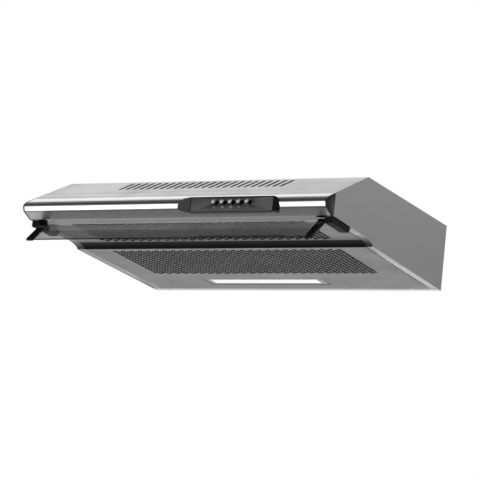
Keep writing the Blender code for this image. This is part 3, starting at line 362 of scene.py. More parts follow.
def chromeMaterial():
    made, tree, shader, place = newMaterial("platedCap")
    link = tree.links.new
    marks = addNode(tree, "ShaderNodeGroup", node_tree=handlingGroup)
    tone = addNode(tree, "ShaderNodeTexNoise", {"Scale": 300.0, "Detail": 2.0})
    spread = addNode(tree, "ShaderNodeMapRange", {"To Min": 0.86, "To Max": 0.96})
    marks.inputs["Roughness"].default_value = 0.24
    marks.inputs["Patch Scale"].default_value = 200.0
    shader.inputs["Metallic"].default_value = 1.0
    link(place, marks.inputs["Vector"])
    link(place, tone.inputs["Vector"])
    link(tone.outputs[0], spread.inputs["Value"])
    link(spread.outputs[0], shader.inputs["Base Color"])
    link(marks.outputs[0], shader.inputs["Roughness"])
    return made


def addBlend(tree, mask, first, second):
    # a colour mix by mask; each colour is a socket or a plain tuple
    blend = addNode(tree, "ShaderNodeMix", data_type="RGBA")
    tree.links.new(mask, blend.inputs[0])
    for index, given in ((6, first), (7, second)):
        if isinstance(given, tuple):
            blend.inputs[index].default_value = given + (1,)
        else:
            tree.links.new(given, blend.inputs[index])
    return blend.outputs[2]


def parts(made):
    tree = made.node_tree
    place = next(n for n in tree.nodes if n.type == "TEX_COORD").outputs["Object"]
    return tree, tree.nodes["Principled BSDF"], place


noseLook = {
    "bandFoot": -0.0893,
    "brushedFrom": -0.0908,
    "brushedRough": 0.20,
    "lowerFacePaintedLight": (0.98, 0.98, 0.98),
}


def noseMaterial():
    # polished above and on the band; the lower face is brushed and rougher, and its lighter colour is painted
    # light
    made = steelMaterial("noseSteel")
    tree, shader, place = parts(made)
    split = addNode(tree, "ShaderNodeSeparateXYZ")
    low = addNode(tree, "ShaderNodeMapRange", {"To Min": 0.0})
    low.inputs["From Min"].default_value = noseLook["bandFoot"]
    low.inputs["From Max"].default_value = noseLook["brushedFrom"]
    polish = shader.inputs["Roughness"].links[0].from_socket
    tone = shader.inputs["Base Color"].links[0].from_socket
    tree.links.new(place, split.inputs[0])
    tree.links.new(split.outputs["Z"], low.inputs["Value"])
    rough = addMath(tree, "MULTIPLY_ADD", low.outputs[0], noseLook["brushedRough"], polish)
    tree.links.new(rough, shader.inputs["Roughness"])
    # painted light: the lower face takes the lighter colour
    blended = addBlend(tree, low.outputs[0], tone, noseLook["lowerFacePaintedLight"])
    tree.links.new(blended, shader.inputs["Base Color"])
    return made


wedgeLook = {"end": 0.0428, "color": (0.095, 0.095, 0.097)}


def housingMaterial():
    # the control strip is coloured dark grey at its left wedge and black elsewhere
    made = mouldedMaterial("blackMoulding")
    made.name = "stripMoulding"
    tree, shader, place = parts(made)
    split = addNode(tree, "ShaderNodeSeparateXYZ")
    source = shader.inputs["Base Color"].links[0].from_socket
    tree.links.new(place, split.inputs[0])
    wedge = addMath(tree, "LESS_THAN", split.outputs["X"], wedgeLook["end"])
    blended = addBlend(tree, wedge, source, wedgeLook["color"])
    tree.links.new(blended, shader.inputs["Base Color"])
    return made


# painted shade for the hole walls and lips
holeShadeLook = {"color": (0.006, 0.006, 0.006)}


def grilleMaterial():
    # the walls of the holes and the turned-up lips are painted black and without metal, as painted shade
    made = steelMaterial("grilleSteel")
    tree, shader, place = parts(made)
    walls = addNode(tree, "ShaderNodeAttribute", attribute_name="holeWallShade", attribute_type="GEOMETRY")
    metal = addMath(tree, "SUBTRACT", 1.0, walls.outputs["Fac"])
    source = shader.inputs["Base Color"].links[0].from_socket
    tree.links.new(metal, shader.inputs["Metallic"])
    blended = addBlend(tree, walls.outputs["Fac"], source, holeShadeLook["color"])
    tree.links.new(blended, shader.inputs["Base Color"])
    return made


# the folds' lighter colour is a painted sheen, and their darkening down the step is painted shade
flangeSheenShade = {
    "color": 1.0,
    "inside": 0.2985,
    "stepFront": -0.342,
    "stepFoot": -0.297,
    "footPaintedShade": 0.12,
}


def sideMaterial():
    # the panels' folded edges get a far lighter colour than their faces, a painted sheen, and painted shade
    # darkens them down the step by position
    made = steelMaterial("sideSteel")
    tree, shader, place = parts(made)
    link = tree.links.new
    split = addNode(tree, "ShaderNodeSeparateXYZ")
    width = addMath(tree, "ABSOLUTE", split.outputs["X"])
    folded = addMath(tree, "LESS_THAN", width, flangeSheenShade["inside"])
    # painted shade: the fold's colour falls along the step towards its foot
    down = addNode(tree, "ShaderNodeMapRange", {"To Min": 1.0})
    past = addMath(tree, "GREATER_THAN", split.outputs["Y"], flangeSheenShade["stepFoot"])
    level = addMath(tree, "MAXIMUM", down.outputs[0], past)
    # painted sheen: the fold's colour, far lighter than the face's grain colour
    shade = addNode(tree, "ShaderNodeVectorMath", {0: (flangeSheenShade["color"],) * 3}, operation="SCALE")
    down.inputs["From Min"].default_value = flangeSheenShade["stepFront"]
    down.inputs["From Max"].default_value = flangeSheenShade["stepFoot"]
    down.inputs["To Max"].default_value = flangeSheenShade["footPaintedShade"]
    source = shader.inputs["Base Color"].links[0].from_socket
    link(place, split.inputs[0])
    link(split.outputs["Y"], down.inputs["Value"])
    link(level, shade.inputs["Scale"])
    link(addBlend(tree, folded, source, shade.outputs[0]), shader.inputs["Base Color"])
    return made


plainSteels = ("casingSteel", "railSteel", "zincSteel", "motorSteel")
finishes = {name: steelMaterial(name) for name in plainSteels}
finishes["sideSteel"] = sideMaterial()
finishes["noseSteel"] = noseMaterial()
finishes["grilleSteel"] = grilleMaterial()
finishes["stripMoulding"] = housingMaterial()
finishes.update({name: mouldedMaterial(name) for name in mouldedLooks})
finishes["smokedSheet"] = visorMaterial()
finishes["opalLens"] = lensMaterial()
finishes["fibreMat"] = matMaterial()
finishes["platedCap"] = chromeMaterial()
print("finishes:", len(finishes))


# ---- piece helpers

bodyOf = {name: node["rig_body"] for name, node in nodes.items()}
slotOf = {row["node"]: row["material_slot"] for row in frame["record"]["subparts"]}


def mergedMesh(node):
    bm = bmesh.new()
    bm.from_mesh(nodes[node].data)
    bmesh.ops.remove_doubles(bm, verts=bm.verts, dist=2e-6)
    return bm


def finishPiece(name, bm, body, finish, replaced=(), angle=35):
    mesh = bpy.data.meshes.new(name)
    bm.to_mesh(mesh)
    bm.free()
    mesh.materials.clear()
    mesh.materials.append(finishes[finish])
    mesh.shade_smooth()
    mesh.set_sharp_from_angle(angle=math.radians(angle))
    piece = bpy.data.objects.new(name, mesh)
    bpy.context.scene.collection.objects.link(piece)
    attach(piece, body)
    if replaced:
        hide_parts(*replaced)
    return piece


def evaluatedMesh(piece):
    bpy.context.view_layer.update()
    graph = bpy.context.evaluated_depsgraph_get()
    return bpy.data.meshes.new_from_object(piece.evaluated_get(graph))


def softenNode(node, finish, width, segments=2, angle=35):
    # a CAD piece again with its edges rounded and its curves smooth
    bm = mergedMesh(node)
    bmesh.ops.dissolve_limit(bm, angle_limit=math.radians(1), verts=bm.verts, edges=bm.edges)
    if width:
        sharp = [e for e in bm.edges if e.is_manifold and e.calc_face_angle(0) > math.radians(angle)]
        bmesh.ops.bevel(bm, geom=sharp, offset=width, segments=segments, affect="EDGES", clamp_overlap=True)
        bmesh.ops.remove_doubles(bm, verts=bm.verts, dist=1e-6)
    return finishPiece(node + "_finished", bm, bodyOf[node], finish, (node,), angle)


def turnedShape(bm, profile, place, steps=28):
    # profile of (radius, along) turned about its axis, closed at both ends
    rings = []
    for radius, along in profile:
        if radius < 1e-7:
            rings.append([bm.verts.new(place @ Vector((0, 0, along)))])
            continue
        ring = []
        for k in range(steps):
            turn = 2 * math.pi * k / steps
            spot = Vector((radius * math.cos(turn), radius * math.sin(turn), along))
            ring.append(bm.verts.new(place @ spot))
        rings.append(ring)
    for low, high in zip(rings, rings[1:]):
        for k in range(steps):
            after = (k + 1) % steps
            corners = [low[k % len(low)], low[after % len(low)], high[after % len(high)], high[k % len(high)]]
            bm.faces.new(list(dict.fromkeys(corners)))
    for ring, flip in ((rings[0], True), (rings[-1], False)):
        if len(ring) > 1:
            bm.faces.new(ring[::-1] if flip else ring)


def flatShape(bm, outline, depth, place):
    # a closed outline in x and y, grown along z
    bottom = [bm.verts.new(place @ Vector((x, y, 0))) for x, y in outline]
    top = [bm.verts.new(place @ Vector((x, y, depth))) for x, y in outline]
    count = len(outline)
    bm.faces.new(bottom[::-1])
    bm.faces.new(top)
    for k in range(count):
        after = (k + 1) % count
        bm.faces.new((bottom[k], bottom[after], top[after], top[k]))


# ---- repeats made with Geometry Nodes

def setInput(modifier, label, value):
    for item in modifier.node_group.interface.items_tree:
        if item.item_type == "SOCKET" and item.in_out == "INPUT" and item.name == label:
            modifier[item.identifier] = value
            return
    raise KeyError(label)


def runTree(piece, tree, values):
    # the tree's result as a plain mesh; the piece and its modifier are used up
    modifier = piece.modifiers.new("repeat", "NODES")
    modifier.node_group = tree
    for label, value in values.items():
        setInput(modifier, label, value)
    bpy.context.scene.collection.objects.link(piece)
    mesh = evaluatedMesh(piece)
    piece.modifiers.clear()
    bpy.data.objects.remove(piece)
    bm = bmesh.new()
    bm.from_mesh(mesh)
    bmesh.ops.remove_doubles(bm, verts=bm.verts, dist=1e-6)
    return bm


def buildPerforationTree():
    # round holes in staggered columns, cut through whatever mesh comes in
    tree, start, end = openGroup(
        "staggeredHoles",
        "GeometryNodeTree",
        (
            ("Geometry", "NodeSocketGeometry", None),
            ("Columns", "NodeSocketInt", 53),
            ("Rows", "NodeSocketInt", 16),
            ("Column Pitch", "NodeSocketFloat", 0.0088),
            ("Row Pitch", "NodeSocketFloat", 0.010),
            ("Hole Radius", "NodeSocketFloat", 0.004),
            ("Origin", "NodeSocketVector", None),
            ("Tilt", "NodeSocketRotation", None),
            ("Material", "NodeSocketMaterial", None),
        ),
        (("Geometry", "NodeSocketGeometry"),),
    )
    link = tree.links.new
    given = start.outputs
    points = addNode(tree, "GeometryNodePoints")
    index = addNode(tree, "GeometryNodeInputIndex").outputs[0]
    count = addMath(tree, "MULTIPLY", given["Columns"], given["Rows"])
    column = addMath(tree, "MODULO", index, given["Columns"])
    row = addMath(tree, "FLOOR", addMath(tree, "DIVIDE", index, given["Columns"]))
    stagger = addMath(tree, "MULTIPLY_ADD", addMath(tree, "MODULO", column, 2.0), 0.5, row)
    middle = addMath(tree, "MULTIPLY", addMath(tree, "SUBTRACT", given["Columns"], 1.0), 0.5)
    centred = addMath(tree, "SUBTRACT", column, middle)
    across = addMath(tree, "MULTIPLY", centred, given["Column Pitch"])
    along = addMath(tree, "MULTIPLY", stagger, given["Row Pitch"])
    place = addNode(tree, "ShaderNodeCombineXYZ")
    punch = addNode(tree, "GeometryNodeMeshCylinder", {"Vertices": 14, "Depth": 0.008})
    spread = addNode(tree, "GeometryNodeInstanceOnPoints")
    laid = addNode(tree, "GeometryNodeTransform")
    tools = addNode(tree, "GeometryNodeRealizeInstances")
    cut = addNode(tree, "GeometryNodeMeshBoolean", operation="DIFFERENCE", solver="MANIFOLD")
    whole = addNode(tree, "GeometryNodeRealizeInstances")
    dressed = addNode(tree, "GeometryNodeSetMaterial")
    link(count, points.inputs["Count"])
    link(across, place.inputs["X"])
    link(along, place.inputs["Y"])
    link(place.outputs[0], points.inputs["Position"])
    link(given["Hole Radius"], punch.inputs["Radius"])
    link(points.outputs[0], spread.inputs["Points"])
    link(punch.outputs["Mesh"], spread.inputs["Instance"])
    link(spread.outputs[0], laid.inputs["Geometry"])
    link(given["Origin"], laid.inputs["Translation"])
    link(given["Tilt"], laid.inputs["Rotation"])
    link(laid.outputs[0], tools.inputs[0])
    link(given["Geometry"], cut.inputs["Mesh 1"])
    link(tools.outputs[0], cut.inputs["Mesh 2"])
    link(cut.outputs["Mesh"], whole.inputs[0])
    link(whole.outputs[0], dressed.inputs["Geometry"])
    link(given["Material"], dressed.inputs["Material"])
    link(dressed.outputs[0], end.inputs["Geometry"])
    return tree


perforation = {
    "columns": 53,
    "columnPitch": 0.00877,
    "rowPitch": 0.010,
    "radius": 0.0044,
    "wallSlope": 0.4,
    "rear": {"node": "filter_grille", "rows": 16, "startY": -0.2815, "smooth": 8},
    "front": {"node": "front_grille", "rows": 12, "startY": -0.4410, "smooth": 30},
}
undersideTilt = math.radians(1.8)
rearHeight = 0.1217
stepRise = 0.0085


def rearLine(y):
    return -rearHeight - y * math.tan(undersideTilt)


holesTree = buildPerforationTree()


def makeGrille(which):
    look = perforation[which]
    node = look["node"]
    bm = mergedMesh(node)
    mesh = bpy.data.meshes.new(node + "_blank")
    bm.to_mesh(mesh)
    bm.free()
    blank = bpy.data.objects.new(node + "_blank", mesh)
    height = rearLine(look["startY"]) + (stepRise if which == "front" else 0)
    bm = runTree(
        blank,
        holesTree,
        {
            "Columns": perforation["columns"],
            "Rows": look["rows"],
            "Column Pitch": perforation["columnPitch"],
            "Row Pitch": perforation["rowPitch"],
            "Hole Radius": perforation["radius"],
            "Origin": (0.0, look["startY"], height),
            "Tilt": (-undersideTilt, 0.0, 0.0),
            "Material": finishes["grilleSteel"],
        },
    )
    print(node, "cut:", len(bm.faces), "faces")
    name, body, slot = node + "_perforated", bodyOf[node], slotOf[node]
    grille = finishPiece(name, bm, body, "grilleSteel", (node,), look["smooth"])
    # faces standing on edge, the hole walls and lips, are marked for the painted shade
    holeWallShade = grille.data.attributes.new("holeWallShade", "FLOAT", "FACE")
    for face in grille.data.polygons:
        holeWallShade.data[face.index].value = 1.0 if abs(face.normal.z) < perforation["wallSlope"] else 0.0
    return grille


makeGrille("rear")
makeGrille("front")


def buildScrewTree():
    # a pan head with a cross recess on every point, standing along the point's aim
    tree, start, end = openGroup(
        "screwHeads",
        "GeometryNodeTree",
        (
            ("Geometry", "NodeSocketGeometry", None),
            ("Head Radius", "NodeSocketFloat", 0.003),
            ("Head Height", "NodeSocketFloat", 0.0014),
            ("Recess Width", "NodeSocketFloat", 0.0007),
            ("Material", "NodeSocketMaterial", None),
        ),
        (("Geometry", "NodeSocketGeometry"),),
    )
    link = tree.links.new
    given = start.outputs
    head = addNode(tree, "GeometryNodeMeshUVSphere", {"Segments": 16, "Rings": 8})
    squash = addNode(tree, "ShaderNodeCombineXYZ")
    domed = addNode(tree, "GeometryNodeTransform")
    slotLength = addMath(tree, "MULTIPLY", given["Head Radius"], 1.25)
    slotSize = addNode(tree, "ShaderNodeCombineXYZ")
    crossSize = addNode(tree, "ShaderNodeCombineXYZ")
    barOne = addNode(tree, "GeometryNodeMeshCube")
    barTwo = addNode(tree, "GeometryNodeMeshCube")
    lift = addNode(tree, "ShaderNodeCombineXYZ")
    raisedOne = addNode(tree, "GeometryNodeTransform")
    raisedTwo = addNode(tree, "GeometryNodeTransform")
    cut = addNode(tree, "GeometryNodeMeshBoolean", operation="DIFFERENCE", solver="MANIFOLD")
    aim = addNode(tree, "GeometryNodeInputNamedAttribute", {"Name": "aim"}, data_type="FLOAT_VECTOR")
    facing = addNode(tree, "FunctionNodeAlignRotationToVector", axis="Z")
    spread = addNode(tree, "GeometryNodeInstanceOnPoints")
    whole = addNode(tree, "GeometryNodeRealizeInstances")
    dressed = addNode(tree, "GeometryNodeSetMaterial")
    head.inputs["Radius"].default_value = 1.0
    link(given["Head Radius"], squash.inputs["X"])
    link(given["Head Radius"], squash.inputs["Y"])
    link(given["Head Height"], squash.inputs["Z"])
    link(head.outputs["Mesh"], domed.inputs["Geometry"])
    link(squash.outputs[0], domed.inputs["Scale"])
    link(slotLength, slotSize.inputs["X"])
    link(given["Recess Width"], slotSize.inputs["Y"])
    link(given["Head Height"], slotSize.inputs["Z"])
    link(given["Recess Width"], crossSize.inputs["X"])
    link(slotLength, crossSize.inputs["Y"])
    link(given["Head Height"], crossSize.inputs["Z"])
    link(slotSize.outputs[0], barOne.inputs["Size"])
    link(crossSize.outputs[0], barTwo.inputs["Size"])
    link(given["Head Height"], lift.inputs["Z"])
    for bar, raised in ((barOne, raisedOne), (barTwo, raisedTwo)):
        link(bar.outputs["Mesh"], raised.inputs["Geometry"])
        link(lift.outputs[0], raised.inputs["Translation"])
    link(domed.outputs[0], cut.inputs["Mesh 1"])
    link(raisedTwo.outputs[0], cut.inputs["Mesh 2"])
    link(raisedOne.outputs[0], cut.inputs["Mesh 2"])
    link(aim.outputs["Attribute"], facing.inputs["Vector"])
    link(given["Geometry"], spread.inputs["Points"])
    link(cut.outputs["Mesh"], spread.inputs["Instance"])
    link(facing.outputs[0], spread.inputs["Rotation"])
    link(spread.outputs[0], whole.inputs[0])
    link(whole.outputs[0], dressed.inputs["Geometry"])
    link(given["Material"], dressed.inputs["Material"])
    link(dressed.outputs[0], end.inputs["Geometry"])
    return tree


screwTree = buildScrewTree()
recessShare = 0.24


def makeScrews(name, body, places, radius, height, finish):
    mesh = bpy.data.meshes.new(name + "_points")
    mesh.from_pydata([point for point, aim in places], [], [])
    facing = mesh.attributes.new("aim", "FLOAT_VECTOR", "POINT")
    for k, (point, aim) in enumerate(places):
        facing.data[k].vector = aim
    points = bpy.data.objects.new(name + "_points", mesh)
    values = {
        "Head Radius": radius,
        "Head Height": height,
        "Recess Width": radius * recessShare,
        "Material": finishes[finish],
    }
    bm = runTree(points, screwTree, values)
    return finishPiece(name, bm, body, finish, (), 40)


up, down, back = (0, 0, 1), (0, 0, -1), (0, 1, 0)
screwSets = {
    "topScrews": {
        "radius": 0.0034,
        "height": 0.0006,
        "places": [((x, y, -0.0006), up) for x in (-0.285, 0.285) for y in (-0.030, -0.165, -0.310)],
    },
    "rearScrews": {
        "radius": 0.0034,
        "height": 0.0006,
        "places": [((x, -0.0006, z), back) for x in (-0.270, -0.09, 0.09, 0.270) for z in (-0.020, -0.100)],
    },
    "grilleRivets": {
        "radius": 0.0024,
        "height": 0.0010,
        "finish": "markDark",
        "places": [((x, -0.415, rearLine(-0.415) + stepRise), down) for x in (-0.194, -0.046, 0.050, 0.179)],
    },
}
for name, look in screwSets.items():
    finish = look.get("finish", "zincSteel")
    makeScrews(name, "hood", look["places"], look["radius"], look["height"], finish)
print("screws and rivets placed")


# ---- control strip

controls = {
    "faceY": -0.4948,
    "pitch": 0.016,
    "capRadius": 0.0035,
    "capLength": 0.0026,
    "knobEnd": -0.4843,
    "markX": 0.1224,
    "markZ": -0.0897,
    "markScale": 1.2,
    "ink": 0.00012,
    "inkGap": 0.00002,
}
# z of a shape runs back along +y
facing = Matrix(((1, 0, 0, 0), (0, 0, 1, 0), (0, -1, 0, 0), (0, 0, 0, 1)))


def makeButtons():
    for k, kind in enumerate(("lamp", "plus", "stop", "minus", "fan")):
        node = "button_" + kind
        low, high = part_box(node)
        centre = (low + high) / 2
        place = Matrix.Translation((centre.x, low.y, centre.z)) @ facing
        radius, length = controls["capRadius"], controls["capLength"]
        cap = bmesh.new()
        profile = [
            (0, 0.0),
            (radius * 0.72, 0.00005),
            (radius * 0.92, 0.0003),
            (radius * 0.99, 0.0008),
            (radius * 0.99, length),
            (0, length),
        ]
        turnedShape(cap, profile, place)
        bmesh.ops.recalc_face_normals(cap, faces=cap.faces)
        finishPiece(node + "_cap", cap, bodyOf[node], "platedCap", (), 30)
        stem = bmesh.new()
        knobLength = controls["knobEnd"] - low.y
        profile = [
            (0, length + 0.0001),
            (radius * 0.93, length + 0.0001),
            (radius * 0.96, length + 0.0005),
            (radius * 0.96, knobLength),
            (0.0019, knobLength),
            (0.0019, high.y - low.y),
            (0, high.y - low.y),
        ]
        turnedShape(stem, profile, place)
        bmesh.ops.recalc_face_normals(stem, faces=stem.faces)
        finishPiece(node + "_stem", stem, bodyOf[node], "blackMoulding", (node,), 30)


def ringOutline(bm, inner, outer, depth, place, steps):
    # a flat ring with walls
    loops = []
    for radius in (inner, outer):
        for level in (0, depth):
            loop = []
            for k in range(steps):
                turn = 2 * math.pi * k / steps
                spot = Vector((radius * math.cos(turn), radius * math.sin(turn), level))
                loop.append(bm.verts.new(place @ spot))
            loops.append(loop)
    innerLow, innerHigh, outerLow, outerHigh = loops
    for k in range(steps):
        a, b = k, (k + 1) % steps
        bm.faces.new((innerHigh[a], outerHigh[a], outerHigh[b], innerHigh[b]))
        bm.faces.new((innerLow[a], innerLow[b], outerLow[b], outerLow[a]))
        bm.faces.new((outerLow[a], outerLow[b], outerHigh[b], outerHigh[a]))
        bm.faces.new((innerLow[a], innerHigh[a], innerHigh[b], innerLow[b]))


def barOutline(x, y, width, height):
    left, right, foot, top = x - width / 2, x + width / 2, y - height / 2, y + height / 2
    return [(left, foot), (right, foot), (right, top), (left, top)]


def makeMarks():
    # lamp, plus, ring, minus and fan, printed under the buttons
    bm = bmesh.new()
    ink = controls["ink"]
    # x across, y up, z towards the front
    turnBack = Matrix(((1, 0, 0, 0), (0, 0, -1, 0), (0, 1, 0, 0), (0, 0, 0, 1)))
    spots = []
    for k in range(5):
        x = controls["markX"] + (k - 2) * controls["pitch"]
        spot = Matrix.Translation((x, controls["faceY"] - controls["inkGap"], controls["markZ"])) @ turnBack
        spots.append(spot @ Matrix.Diagonal((controls["markScale"], controls["markScale"], 1, 1)))
    ringOutline(bm, 0.00085, 0.00125, ink, spots[0] @ Matrix.Translation((0, 0.0005, 0)), 16)
    for row in (0, 1):
        flatShape(bm, barOutline(0, -0.0012 - 0.0006 * row, 0.0013, 0.0003), ink, spots[0])
    plus = [(-.0017, -.0004), (-.0004, -.0004), (-.0004, -.0017)]
    plus += [(.0004, -.0017), (.0004, -.0004), (.0017, -.0004)]
    plus += [(-x, -y) for x, y in plus]
    flatShape(bm, plus, ink, spots[1])
    ringOutline(bm, 0.0012, 0.0018, ink, spots[2], 24)
    flatShape(bm, barOutline(0, 0, 0.0034, 0.0008), ink, spots[3])
    for k in range(3):
        blade = []
        for step in range(9):
            turn = math.radians(120 * k + 90 + 46 * math.sin(math.pi * step / 8) * (1 if step < 5 else 0.2))
            reach = 0.0004 + 0.0016 * (step if step < 5 else 8 - step) / 4
            blade.append((reach * math.cos(turn), reach * math.sin(turn)))
        flatShape(bm, blade, ink, spots[4])
    bmesh.ops.recalc_face_normals(bm, faces=bm.faces)
    finishPiece("control_marks", bm, "hood", "printedMark", (), 30)


makeButtons()
makeMarks()
print("control strip done")


# ---- fibre mat of the grease filter

matShape = {
    "stepsX": 90,
    "stepsY": 34,
    "height": 0.008,
    "base": 0.00135,
    "wave": 0.0006,
    "thinEdge": 0.45,
    "margin": 0.0006,
}


def makeMat():
    low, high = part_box("grease_filter")
    bm = bmesh.new()
    place = Matrix.Translation((0, low.y, rearLine(low.y))) @ Matrix.Rotation(-undersideTilt, 4, "X")
    height, base, margin = matShape["height"], matShape["base"], matShape["margin"]
    width = (high.x - low.x) / 2 - margin
    depth = (high.y - low.y) / math.cos(undersideTilt) - 2 * margin
    stepsX, stepsY = matShape["stepsX"], matShape["stepsY"]
    layers = []
    for side in (0, 1):
        layer = []
        for j in range(stepsY + 1):
            row = []
            for i in range(stepsX + 1):
                u, v = i / stepsX, j / stepsY
                edge = min(i, stepsX - i, j, stepsY - j) / 2.0
                full = matShape["thinEdge"] + (1 - matShape["thinEdge"]) * min(1.0, edge)
                ripple = math.sin(u * 61.0 + 2.3 * math.sin(v * 9)) * math.sin(v * 23.0 + u * 5)
                wave = matShape["wave"] * (ripple - 1) / 2
                z = height / 2 + (side - 0.5) * height * full * 0.98 + (wave if side else -wave * 0.6)
                z = max(0.0001, z)
                row.append(bm.verts.new(place @ Vector((width * (2 * u - 1), margin + depth * v, base + z))))
            layer.append(row)
        layers.append(layer)
    bottom, top = layers
    for j in range(stepsY):
        for i in range(stepsX):
            bm.faces.new((top[j][i], top[j][i + 1], top[j + 1][i + 1], top[j + 1][i]))
            bm.faces.new((bottom[j][i], bottom[j + 1][i], bottom[j + 1][i + 1], bottom[j][i + 1]))
    rim = [(0, i) for i in range(stepsX)] + [(j, stepsX) for j in range(stepsY)]
    rim += [(stepsY, i) for i in range(stepsX, 0, -1)] + [(j, 0) for j in range(stepsY, 0, -1)]
    for k, (j, i) in enumerate(rim):
        nextJ, nextI = rim[(k + 1) % len(rim)]
        bm.faces.new((bottom[j][i], bottom[nextJ][nextI], top[nextJ][nextI], top[j][i]))
    bmesh.ops.recalc_face_normals(bm, faces=bm.faces)
    node = "grease_filter"
    mat = finishPiece("grease_filter_mat", bm, bodyOf[node], "fibreMat", (node,), 60)
    return mat


makeMat()
print("filter mat done")


# ---- impellers with curved blades

impellers = {
    "blades": 32,
    "radius": 0.0398,
    "bladeDepth": 0.0068,
    "bladeBend": 0.0075,
    "bladeSweep": 62.0,
    "sheet": 0.0007,
    "sides": 40,
}
blowerAxis = Vector((0, -0.150, -0.056))


def buildBladeTree():
    tree, start, end = openGroup(
        "bladeRing",
        "GeometryNodeTree",
        (
            ("Geometry", "NodeSocketGeometry", None),
            ("Blades", "NodeSocketInt", 32),
            ("Ring Radius", "NodeSocketFloat", 0.036),
            ("Blade Length", "NodeSocketFloat", 0.056),
            ("Bend Radius", "NodeSocketFloat", 0.0075),
            ("Bend Sweep", "NodeSocketFloat", 1.08),
            ("Sheet", "NodeSocketFloat", 0.0007),
            ("Material", "NodeSocketMaterial", None),
        ),
        (("Geometry", "NodeSocketGeometry"),),
    )
    link = tree.links.new
    given = start.outputs
    length = addNode(tree, "ShaderNodeCombineXYZ")
    line = addNode(tree, "GeometryNodeCurvePrimitiveLine")
    arc = addNode(tree, "GeometryNodeCurveArc", {"Resolution": 6})
    shift = addNode(tree, "ShaderNodeCombineXYZ")
    centred = addNode(tree, "GeometryNodeTransform")
    swept = addNode(tree, "GeometryNodeCurveToMesh")
    thick = addNode(tree, "GeometryNodeExtrudeMesh", {"Individual": False})
    turned = addNode(tree, "GeometryNodeFlipFaces")
    shell = addNode(tree, "GeometryNodeJoinGeometry")
    sewn = addNode(tree, "GeometryNodeMergeByDistance", {"Distance": 1e-6})
    ring = addNode(tree, "GeometryNodeMeshCircle", fill_type="NONE")
    index = addNode(tree, "GeometryNodeInputIndex").outputs[0]
    turn = addMath(tree, "MULTIPLY", addMath(tree, "DIVIDE", index, given["Blades"]), 2 * math.pi)
    spin = addNode(tree, "ShaderNodeCombineXYZ")
    spread = addNode(tree, "GeometryNodeInstanceOnPoints")
    both = addNode(tree, "GeometryNodeJoinGeometry")
    whole = addNode(tree, "GeometryNodeRealizeInstances")
    dressed = addNode(tree, "GeometryNodeSetMaterial")
    link(given["Blade Length"], length.inputs["Z"])
    link(length.outputs[0], line.inputs["End"])
    link(given["Bend Radius"], arc.inputs["Radius"])
    link(given["Bend Sweep"], arc.inputs["Sweep Angle"])
    link(addMath(tree, "MULTIPLY", given["Bend Radius"], -1.0), shift.inputs["Y"])
    link(arc.outputs[0], centred.inputs["Geometry"])
    link(shift.outputs[0], centred.inputs["Translation"])
    link(line.outputs[0], swept.inputs["Curve"])
    link(centred.outputs[0], swept.inputs["Profile Curve"])
    link(swept.outputs[0], thick.inputs["Mesh"])
    link(given["Sheet"], thick.inputs["Offset Scale"])
    link(swept.outputs[0], turned.inputs["Mesh"])
    link(turned.outputs[0], shell.inputs[0])
    link(thick.outputs["Mesh"], shell.inputs[0])
    link(shell.outputs[0], sewn.inputs["Geometry"])
    link(given["Blades"], ring.inputs["Vertices"])
    link(given["Ring Radius"], ring.inputs["Radius"])
    link(turn, spin.inputs["Z"])
    link(ring.outputs[0], spread.inputs["Points"])
    link(sewn.outputs["Geometry"], spread.inputs["Instance"])
    link(spin.outputs[0], spread.inputs["Rotation"])
    link(spread.outputs[0], both.inputs[0])
    link(given["Geometry"], both.inputs[0])
    link(both.outputs[0], whole.inputs[0])
    link(whole.outputs[0], dressed.inputs["Geometry"])
    link(given["Material"], dressed.inputs["Material"])
    link(dressed.outputs[0], end.inputs["Geometry"])
    return tree


bladeTree = buildBladeTree()


def makeImpeller(side):
    node = "impeller_" + side
    low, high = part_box(node)
    sign = 1 if side == "right" else -1
    length = high.x - low.x
    start = low.x if sign > 0 else high.x
    # z of the wheel runs along the shaft, away from the motor
    turned = Matrix.Rotation(sign * math.pi / 2, 4, "Y")
    place = Matrix.Translation((start, blowerAxis.y, blowerAxis.z)) @ turned
    radius, depth = impellers["radius"], impellers["bladeDepth"]
    core = bmesh.new()
    plate = [
        (0.0043, 0.0),
        (radius - 0.001, 0.0),
        (radius, 0.0006),
        (radius, 0.0018),
        (0.012, 0.0022),
        (0.0088, 0.004),
        (0.0085, 0.0155),
        (0.0043, 0.016),
    ]
    rimFoot = length - 0.0025
    rim = [(radius, rimFoot), (radius, length), (radius - depth, length), (radius - depth, rimFoot)]
    steps = impellers["sides"]
    turns = [2 * math.pi * k / steps for k in range(steps)]
    for profile in (plate, rim):
        rings = []
        for r, along in profile:
            rings.append([core.verts.new((r * math.cos(turn), r * math.sin(turn), along)) for turn in turns])
        for a in range(len(rings)):
            near, far = rings[a], rings[(a + 1) % len(rings)]
            for k in range(steps):
                after = (k + 1) % steps
                core.faces.new((near[k], near[after], far[after], far[k]))
    bmesh.ops.recalc_face_normals(core, faces=core.faces)
    mesh = bpy.data.meshes.new(node + "_core")
    core.to_mesh(mesh)
    core.free()
    wheel = bpy.data.objects.new(node + "_core", mesh)
    bm = runTree(
        wheel,
        bladeTree,
        {
            "Blades": impellers["blades"],
            "Ring Radius": radius - depth + 0.0002,
            "Blade Length": length - 0.001,
            "Bend Radius": impellers["bladeBend"],
            "Bend Sweep": math.radians(impellers["bladeSweep"]),
            "Sheet": impellers["sheet"],
            "Material": finishes["greyMoulding"],
        },
    )
    bmesh.ops.transform(bm, matrix=place, verts=bm.verts)
    bmesh.ops.recalc_face_normals(bm, faces=bm.faces)
    return finishPiece(node + "_bladed", bm, bodyOf[node], "greyMoulding", (node,), 35)


makeImpeller("left")
makeImpeller("right")
print("impellers done")


# ---- CAD pieces with rounded edges

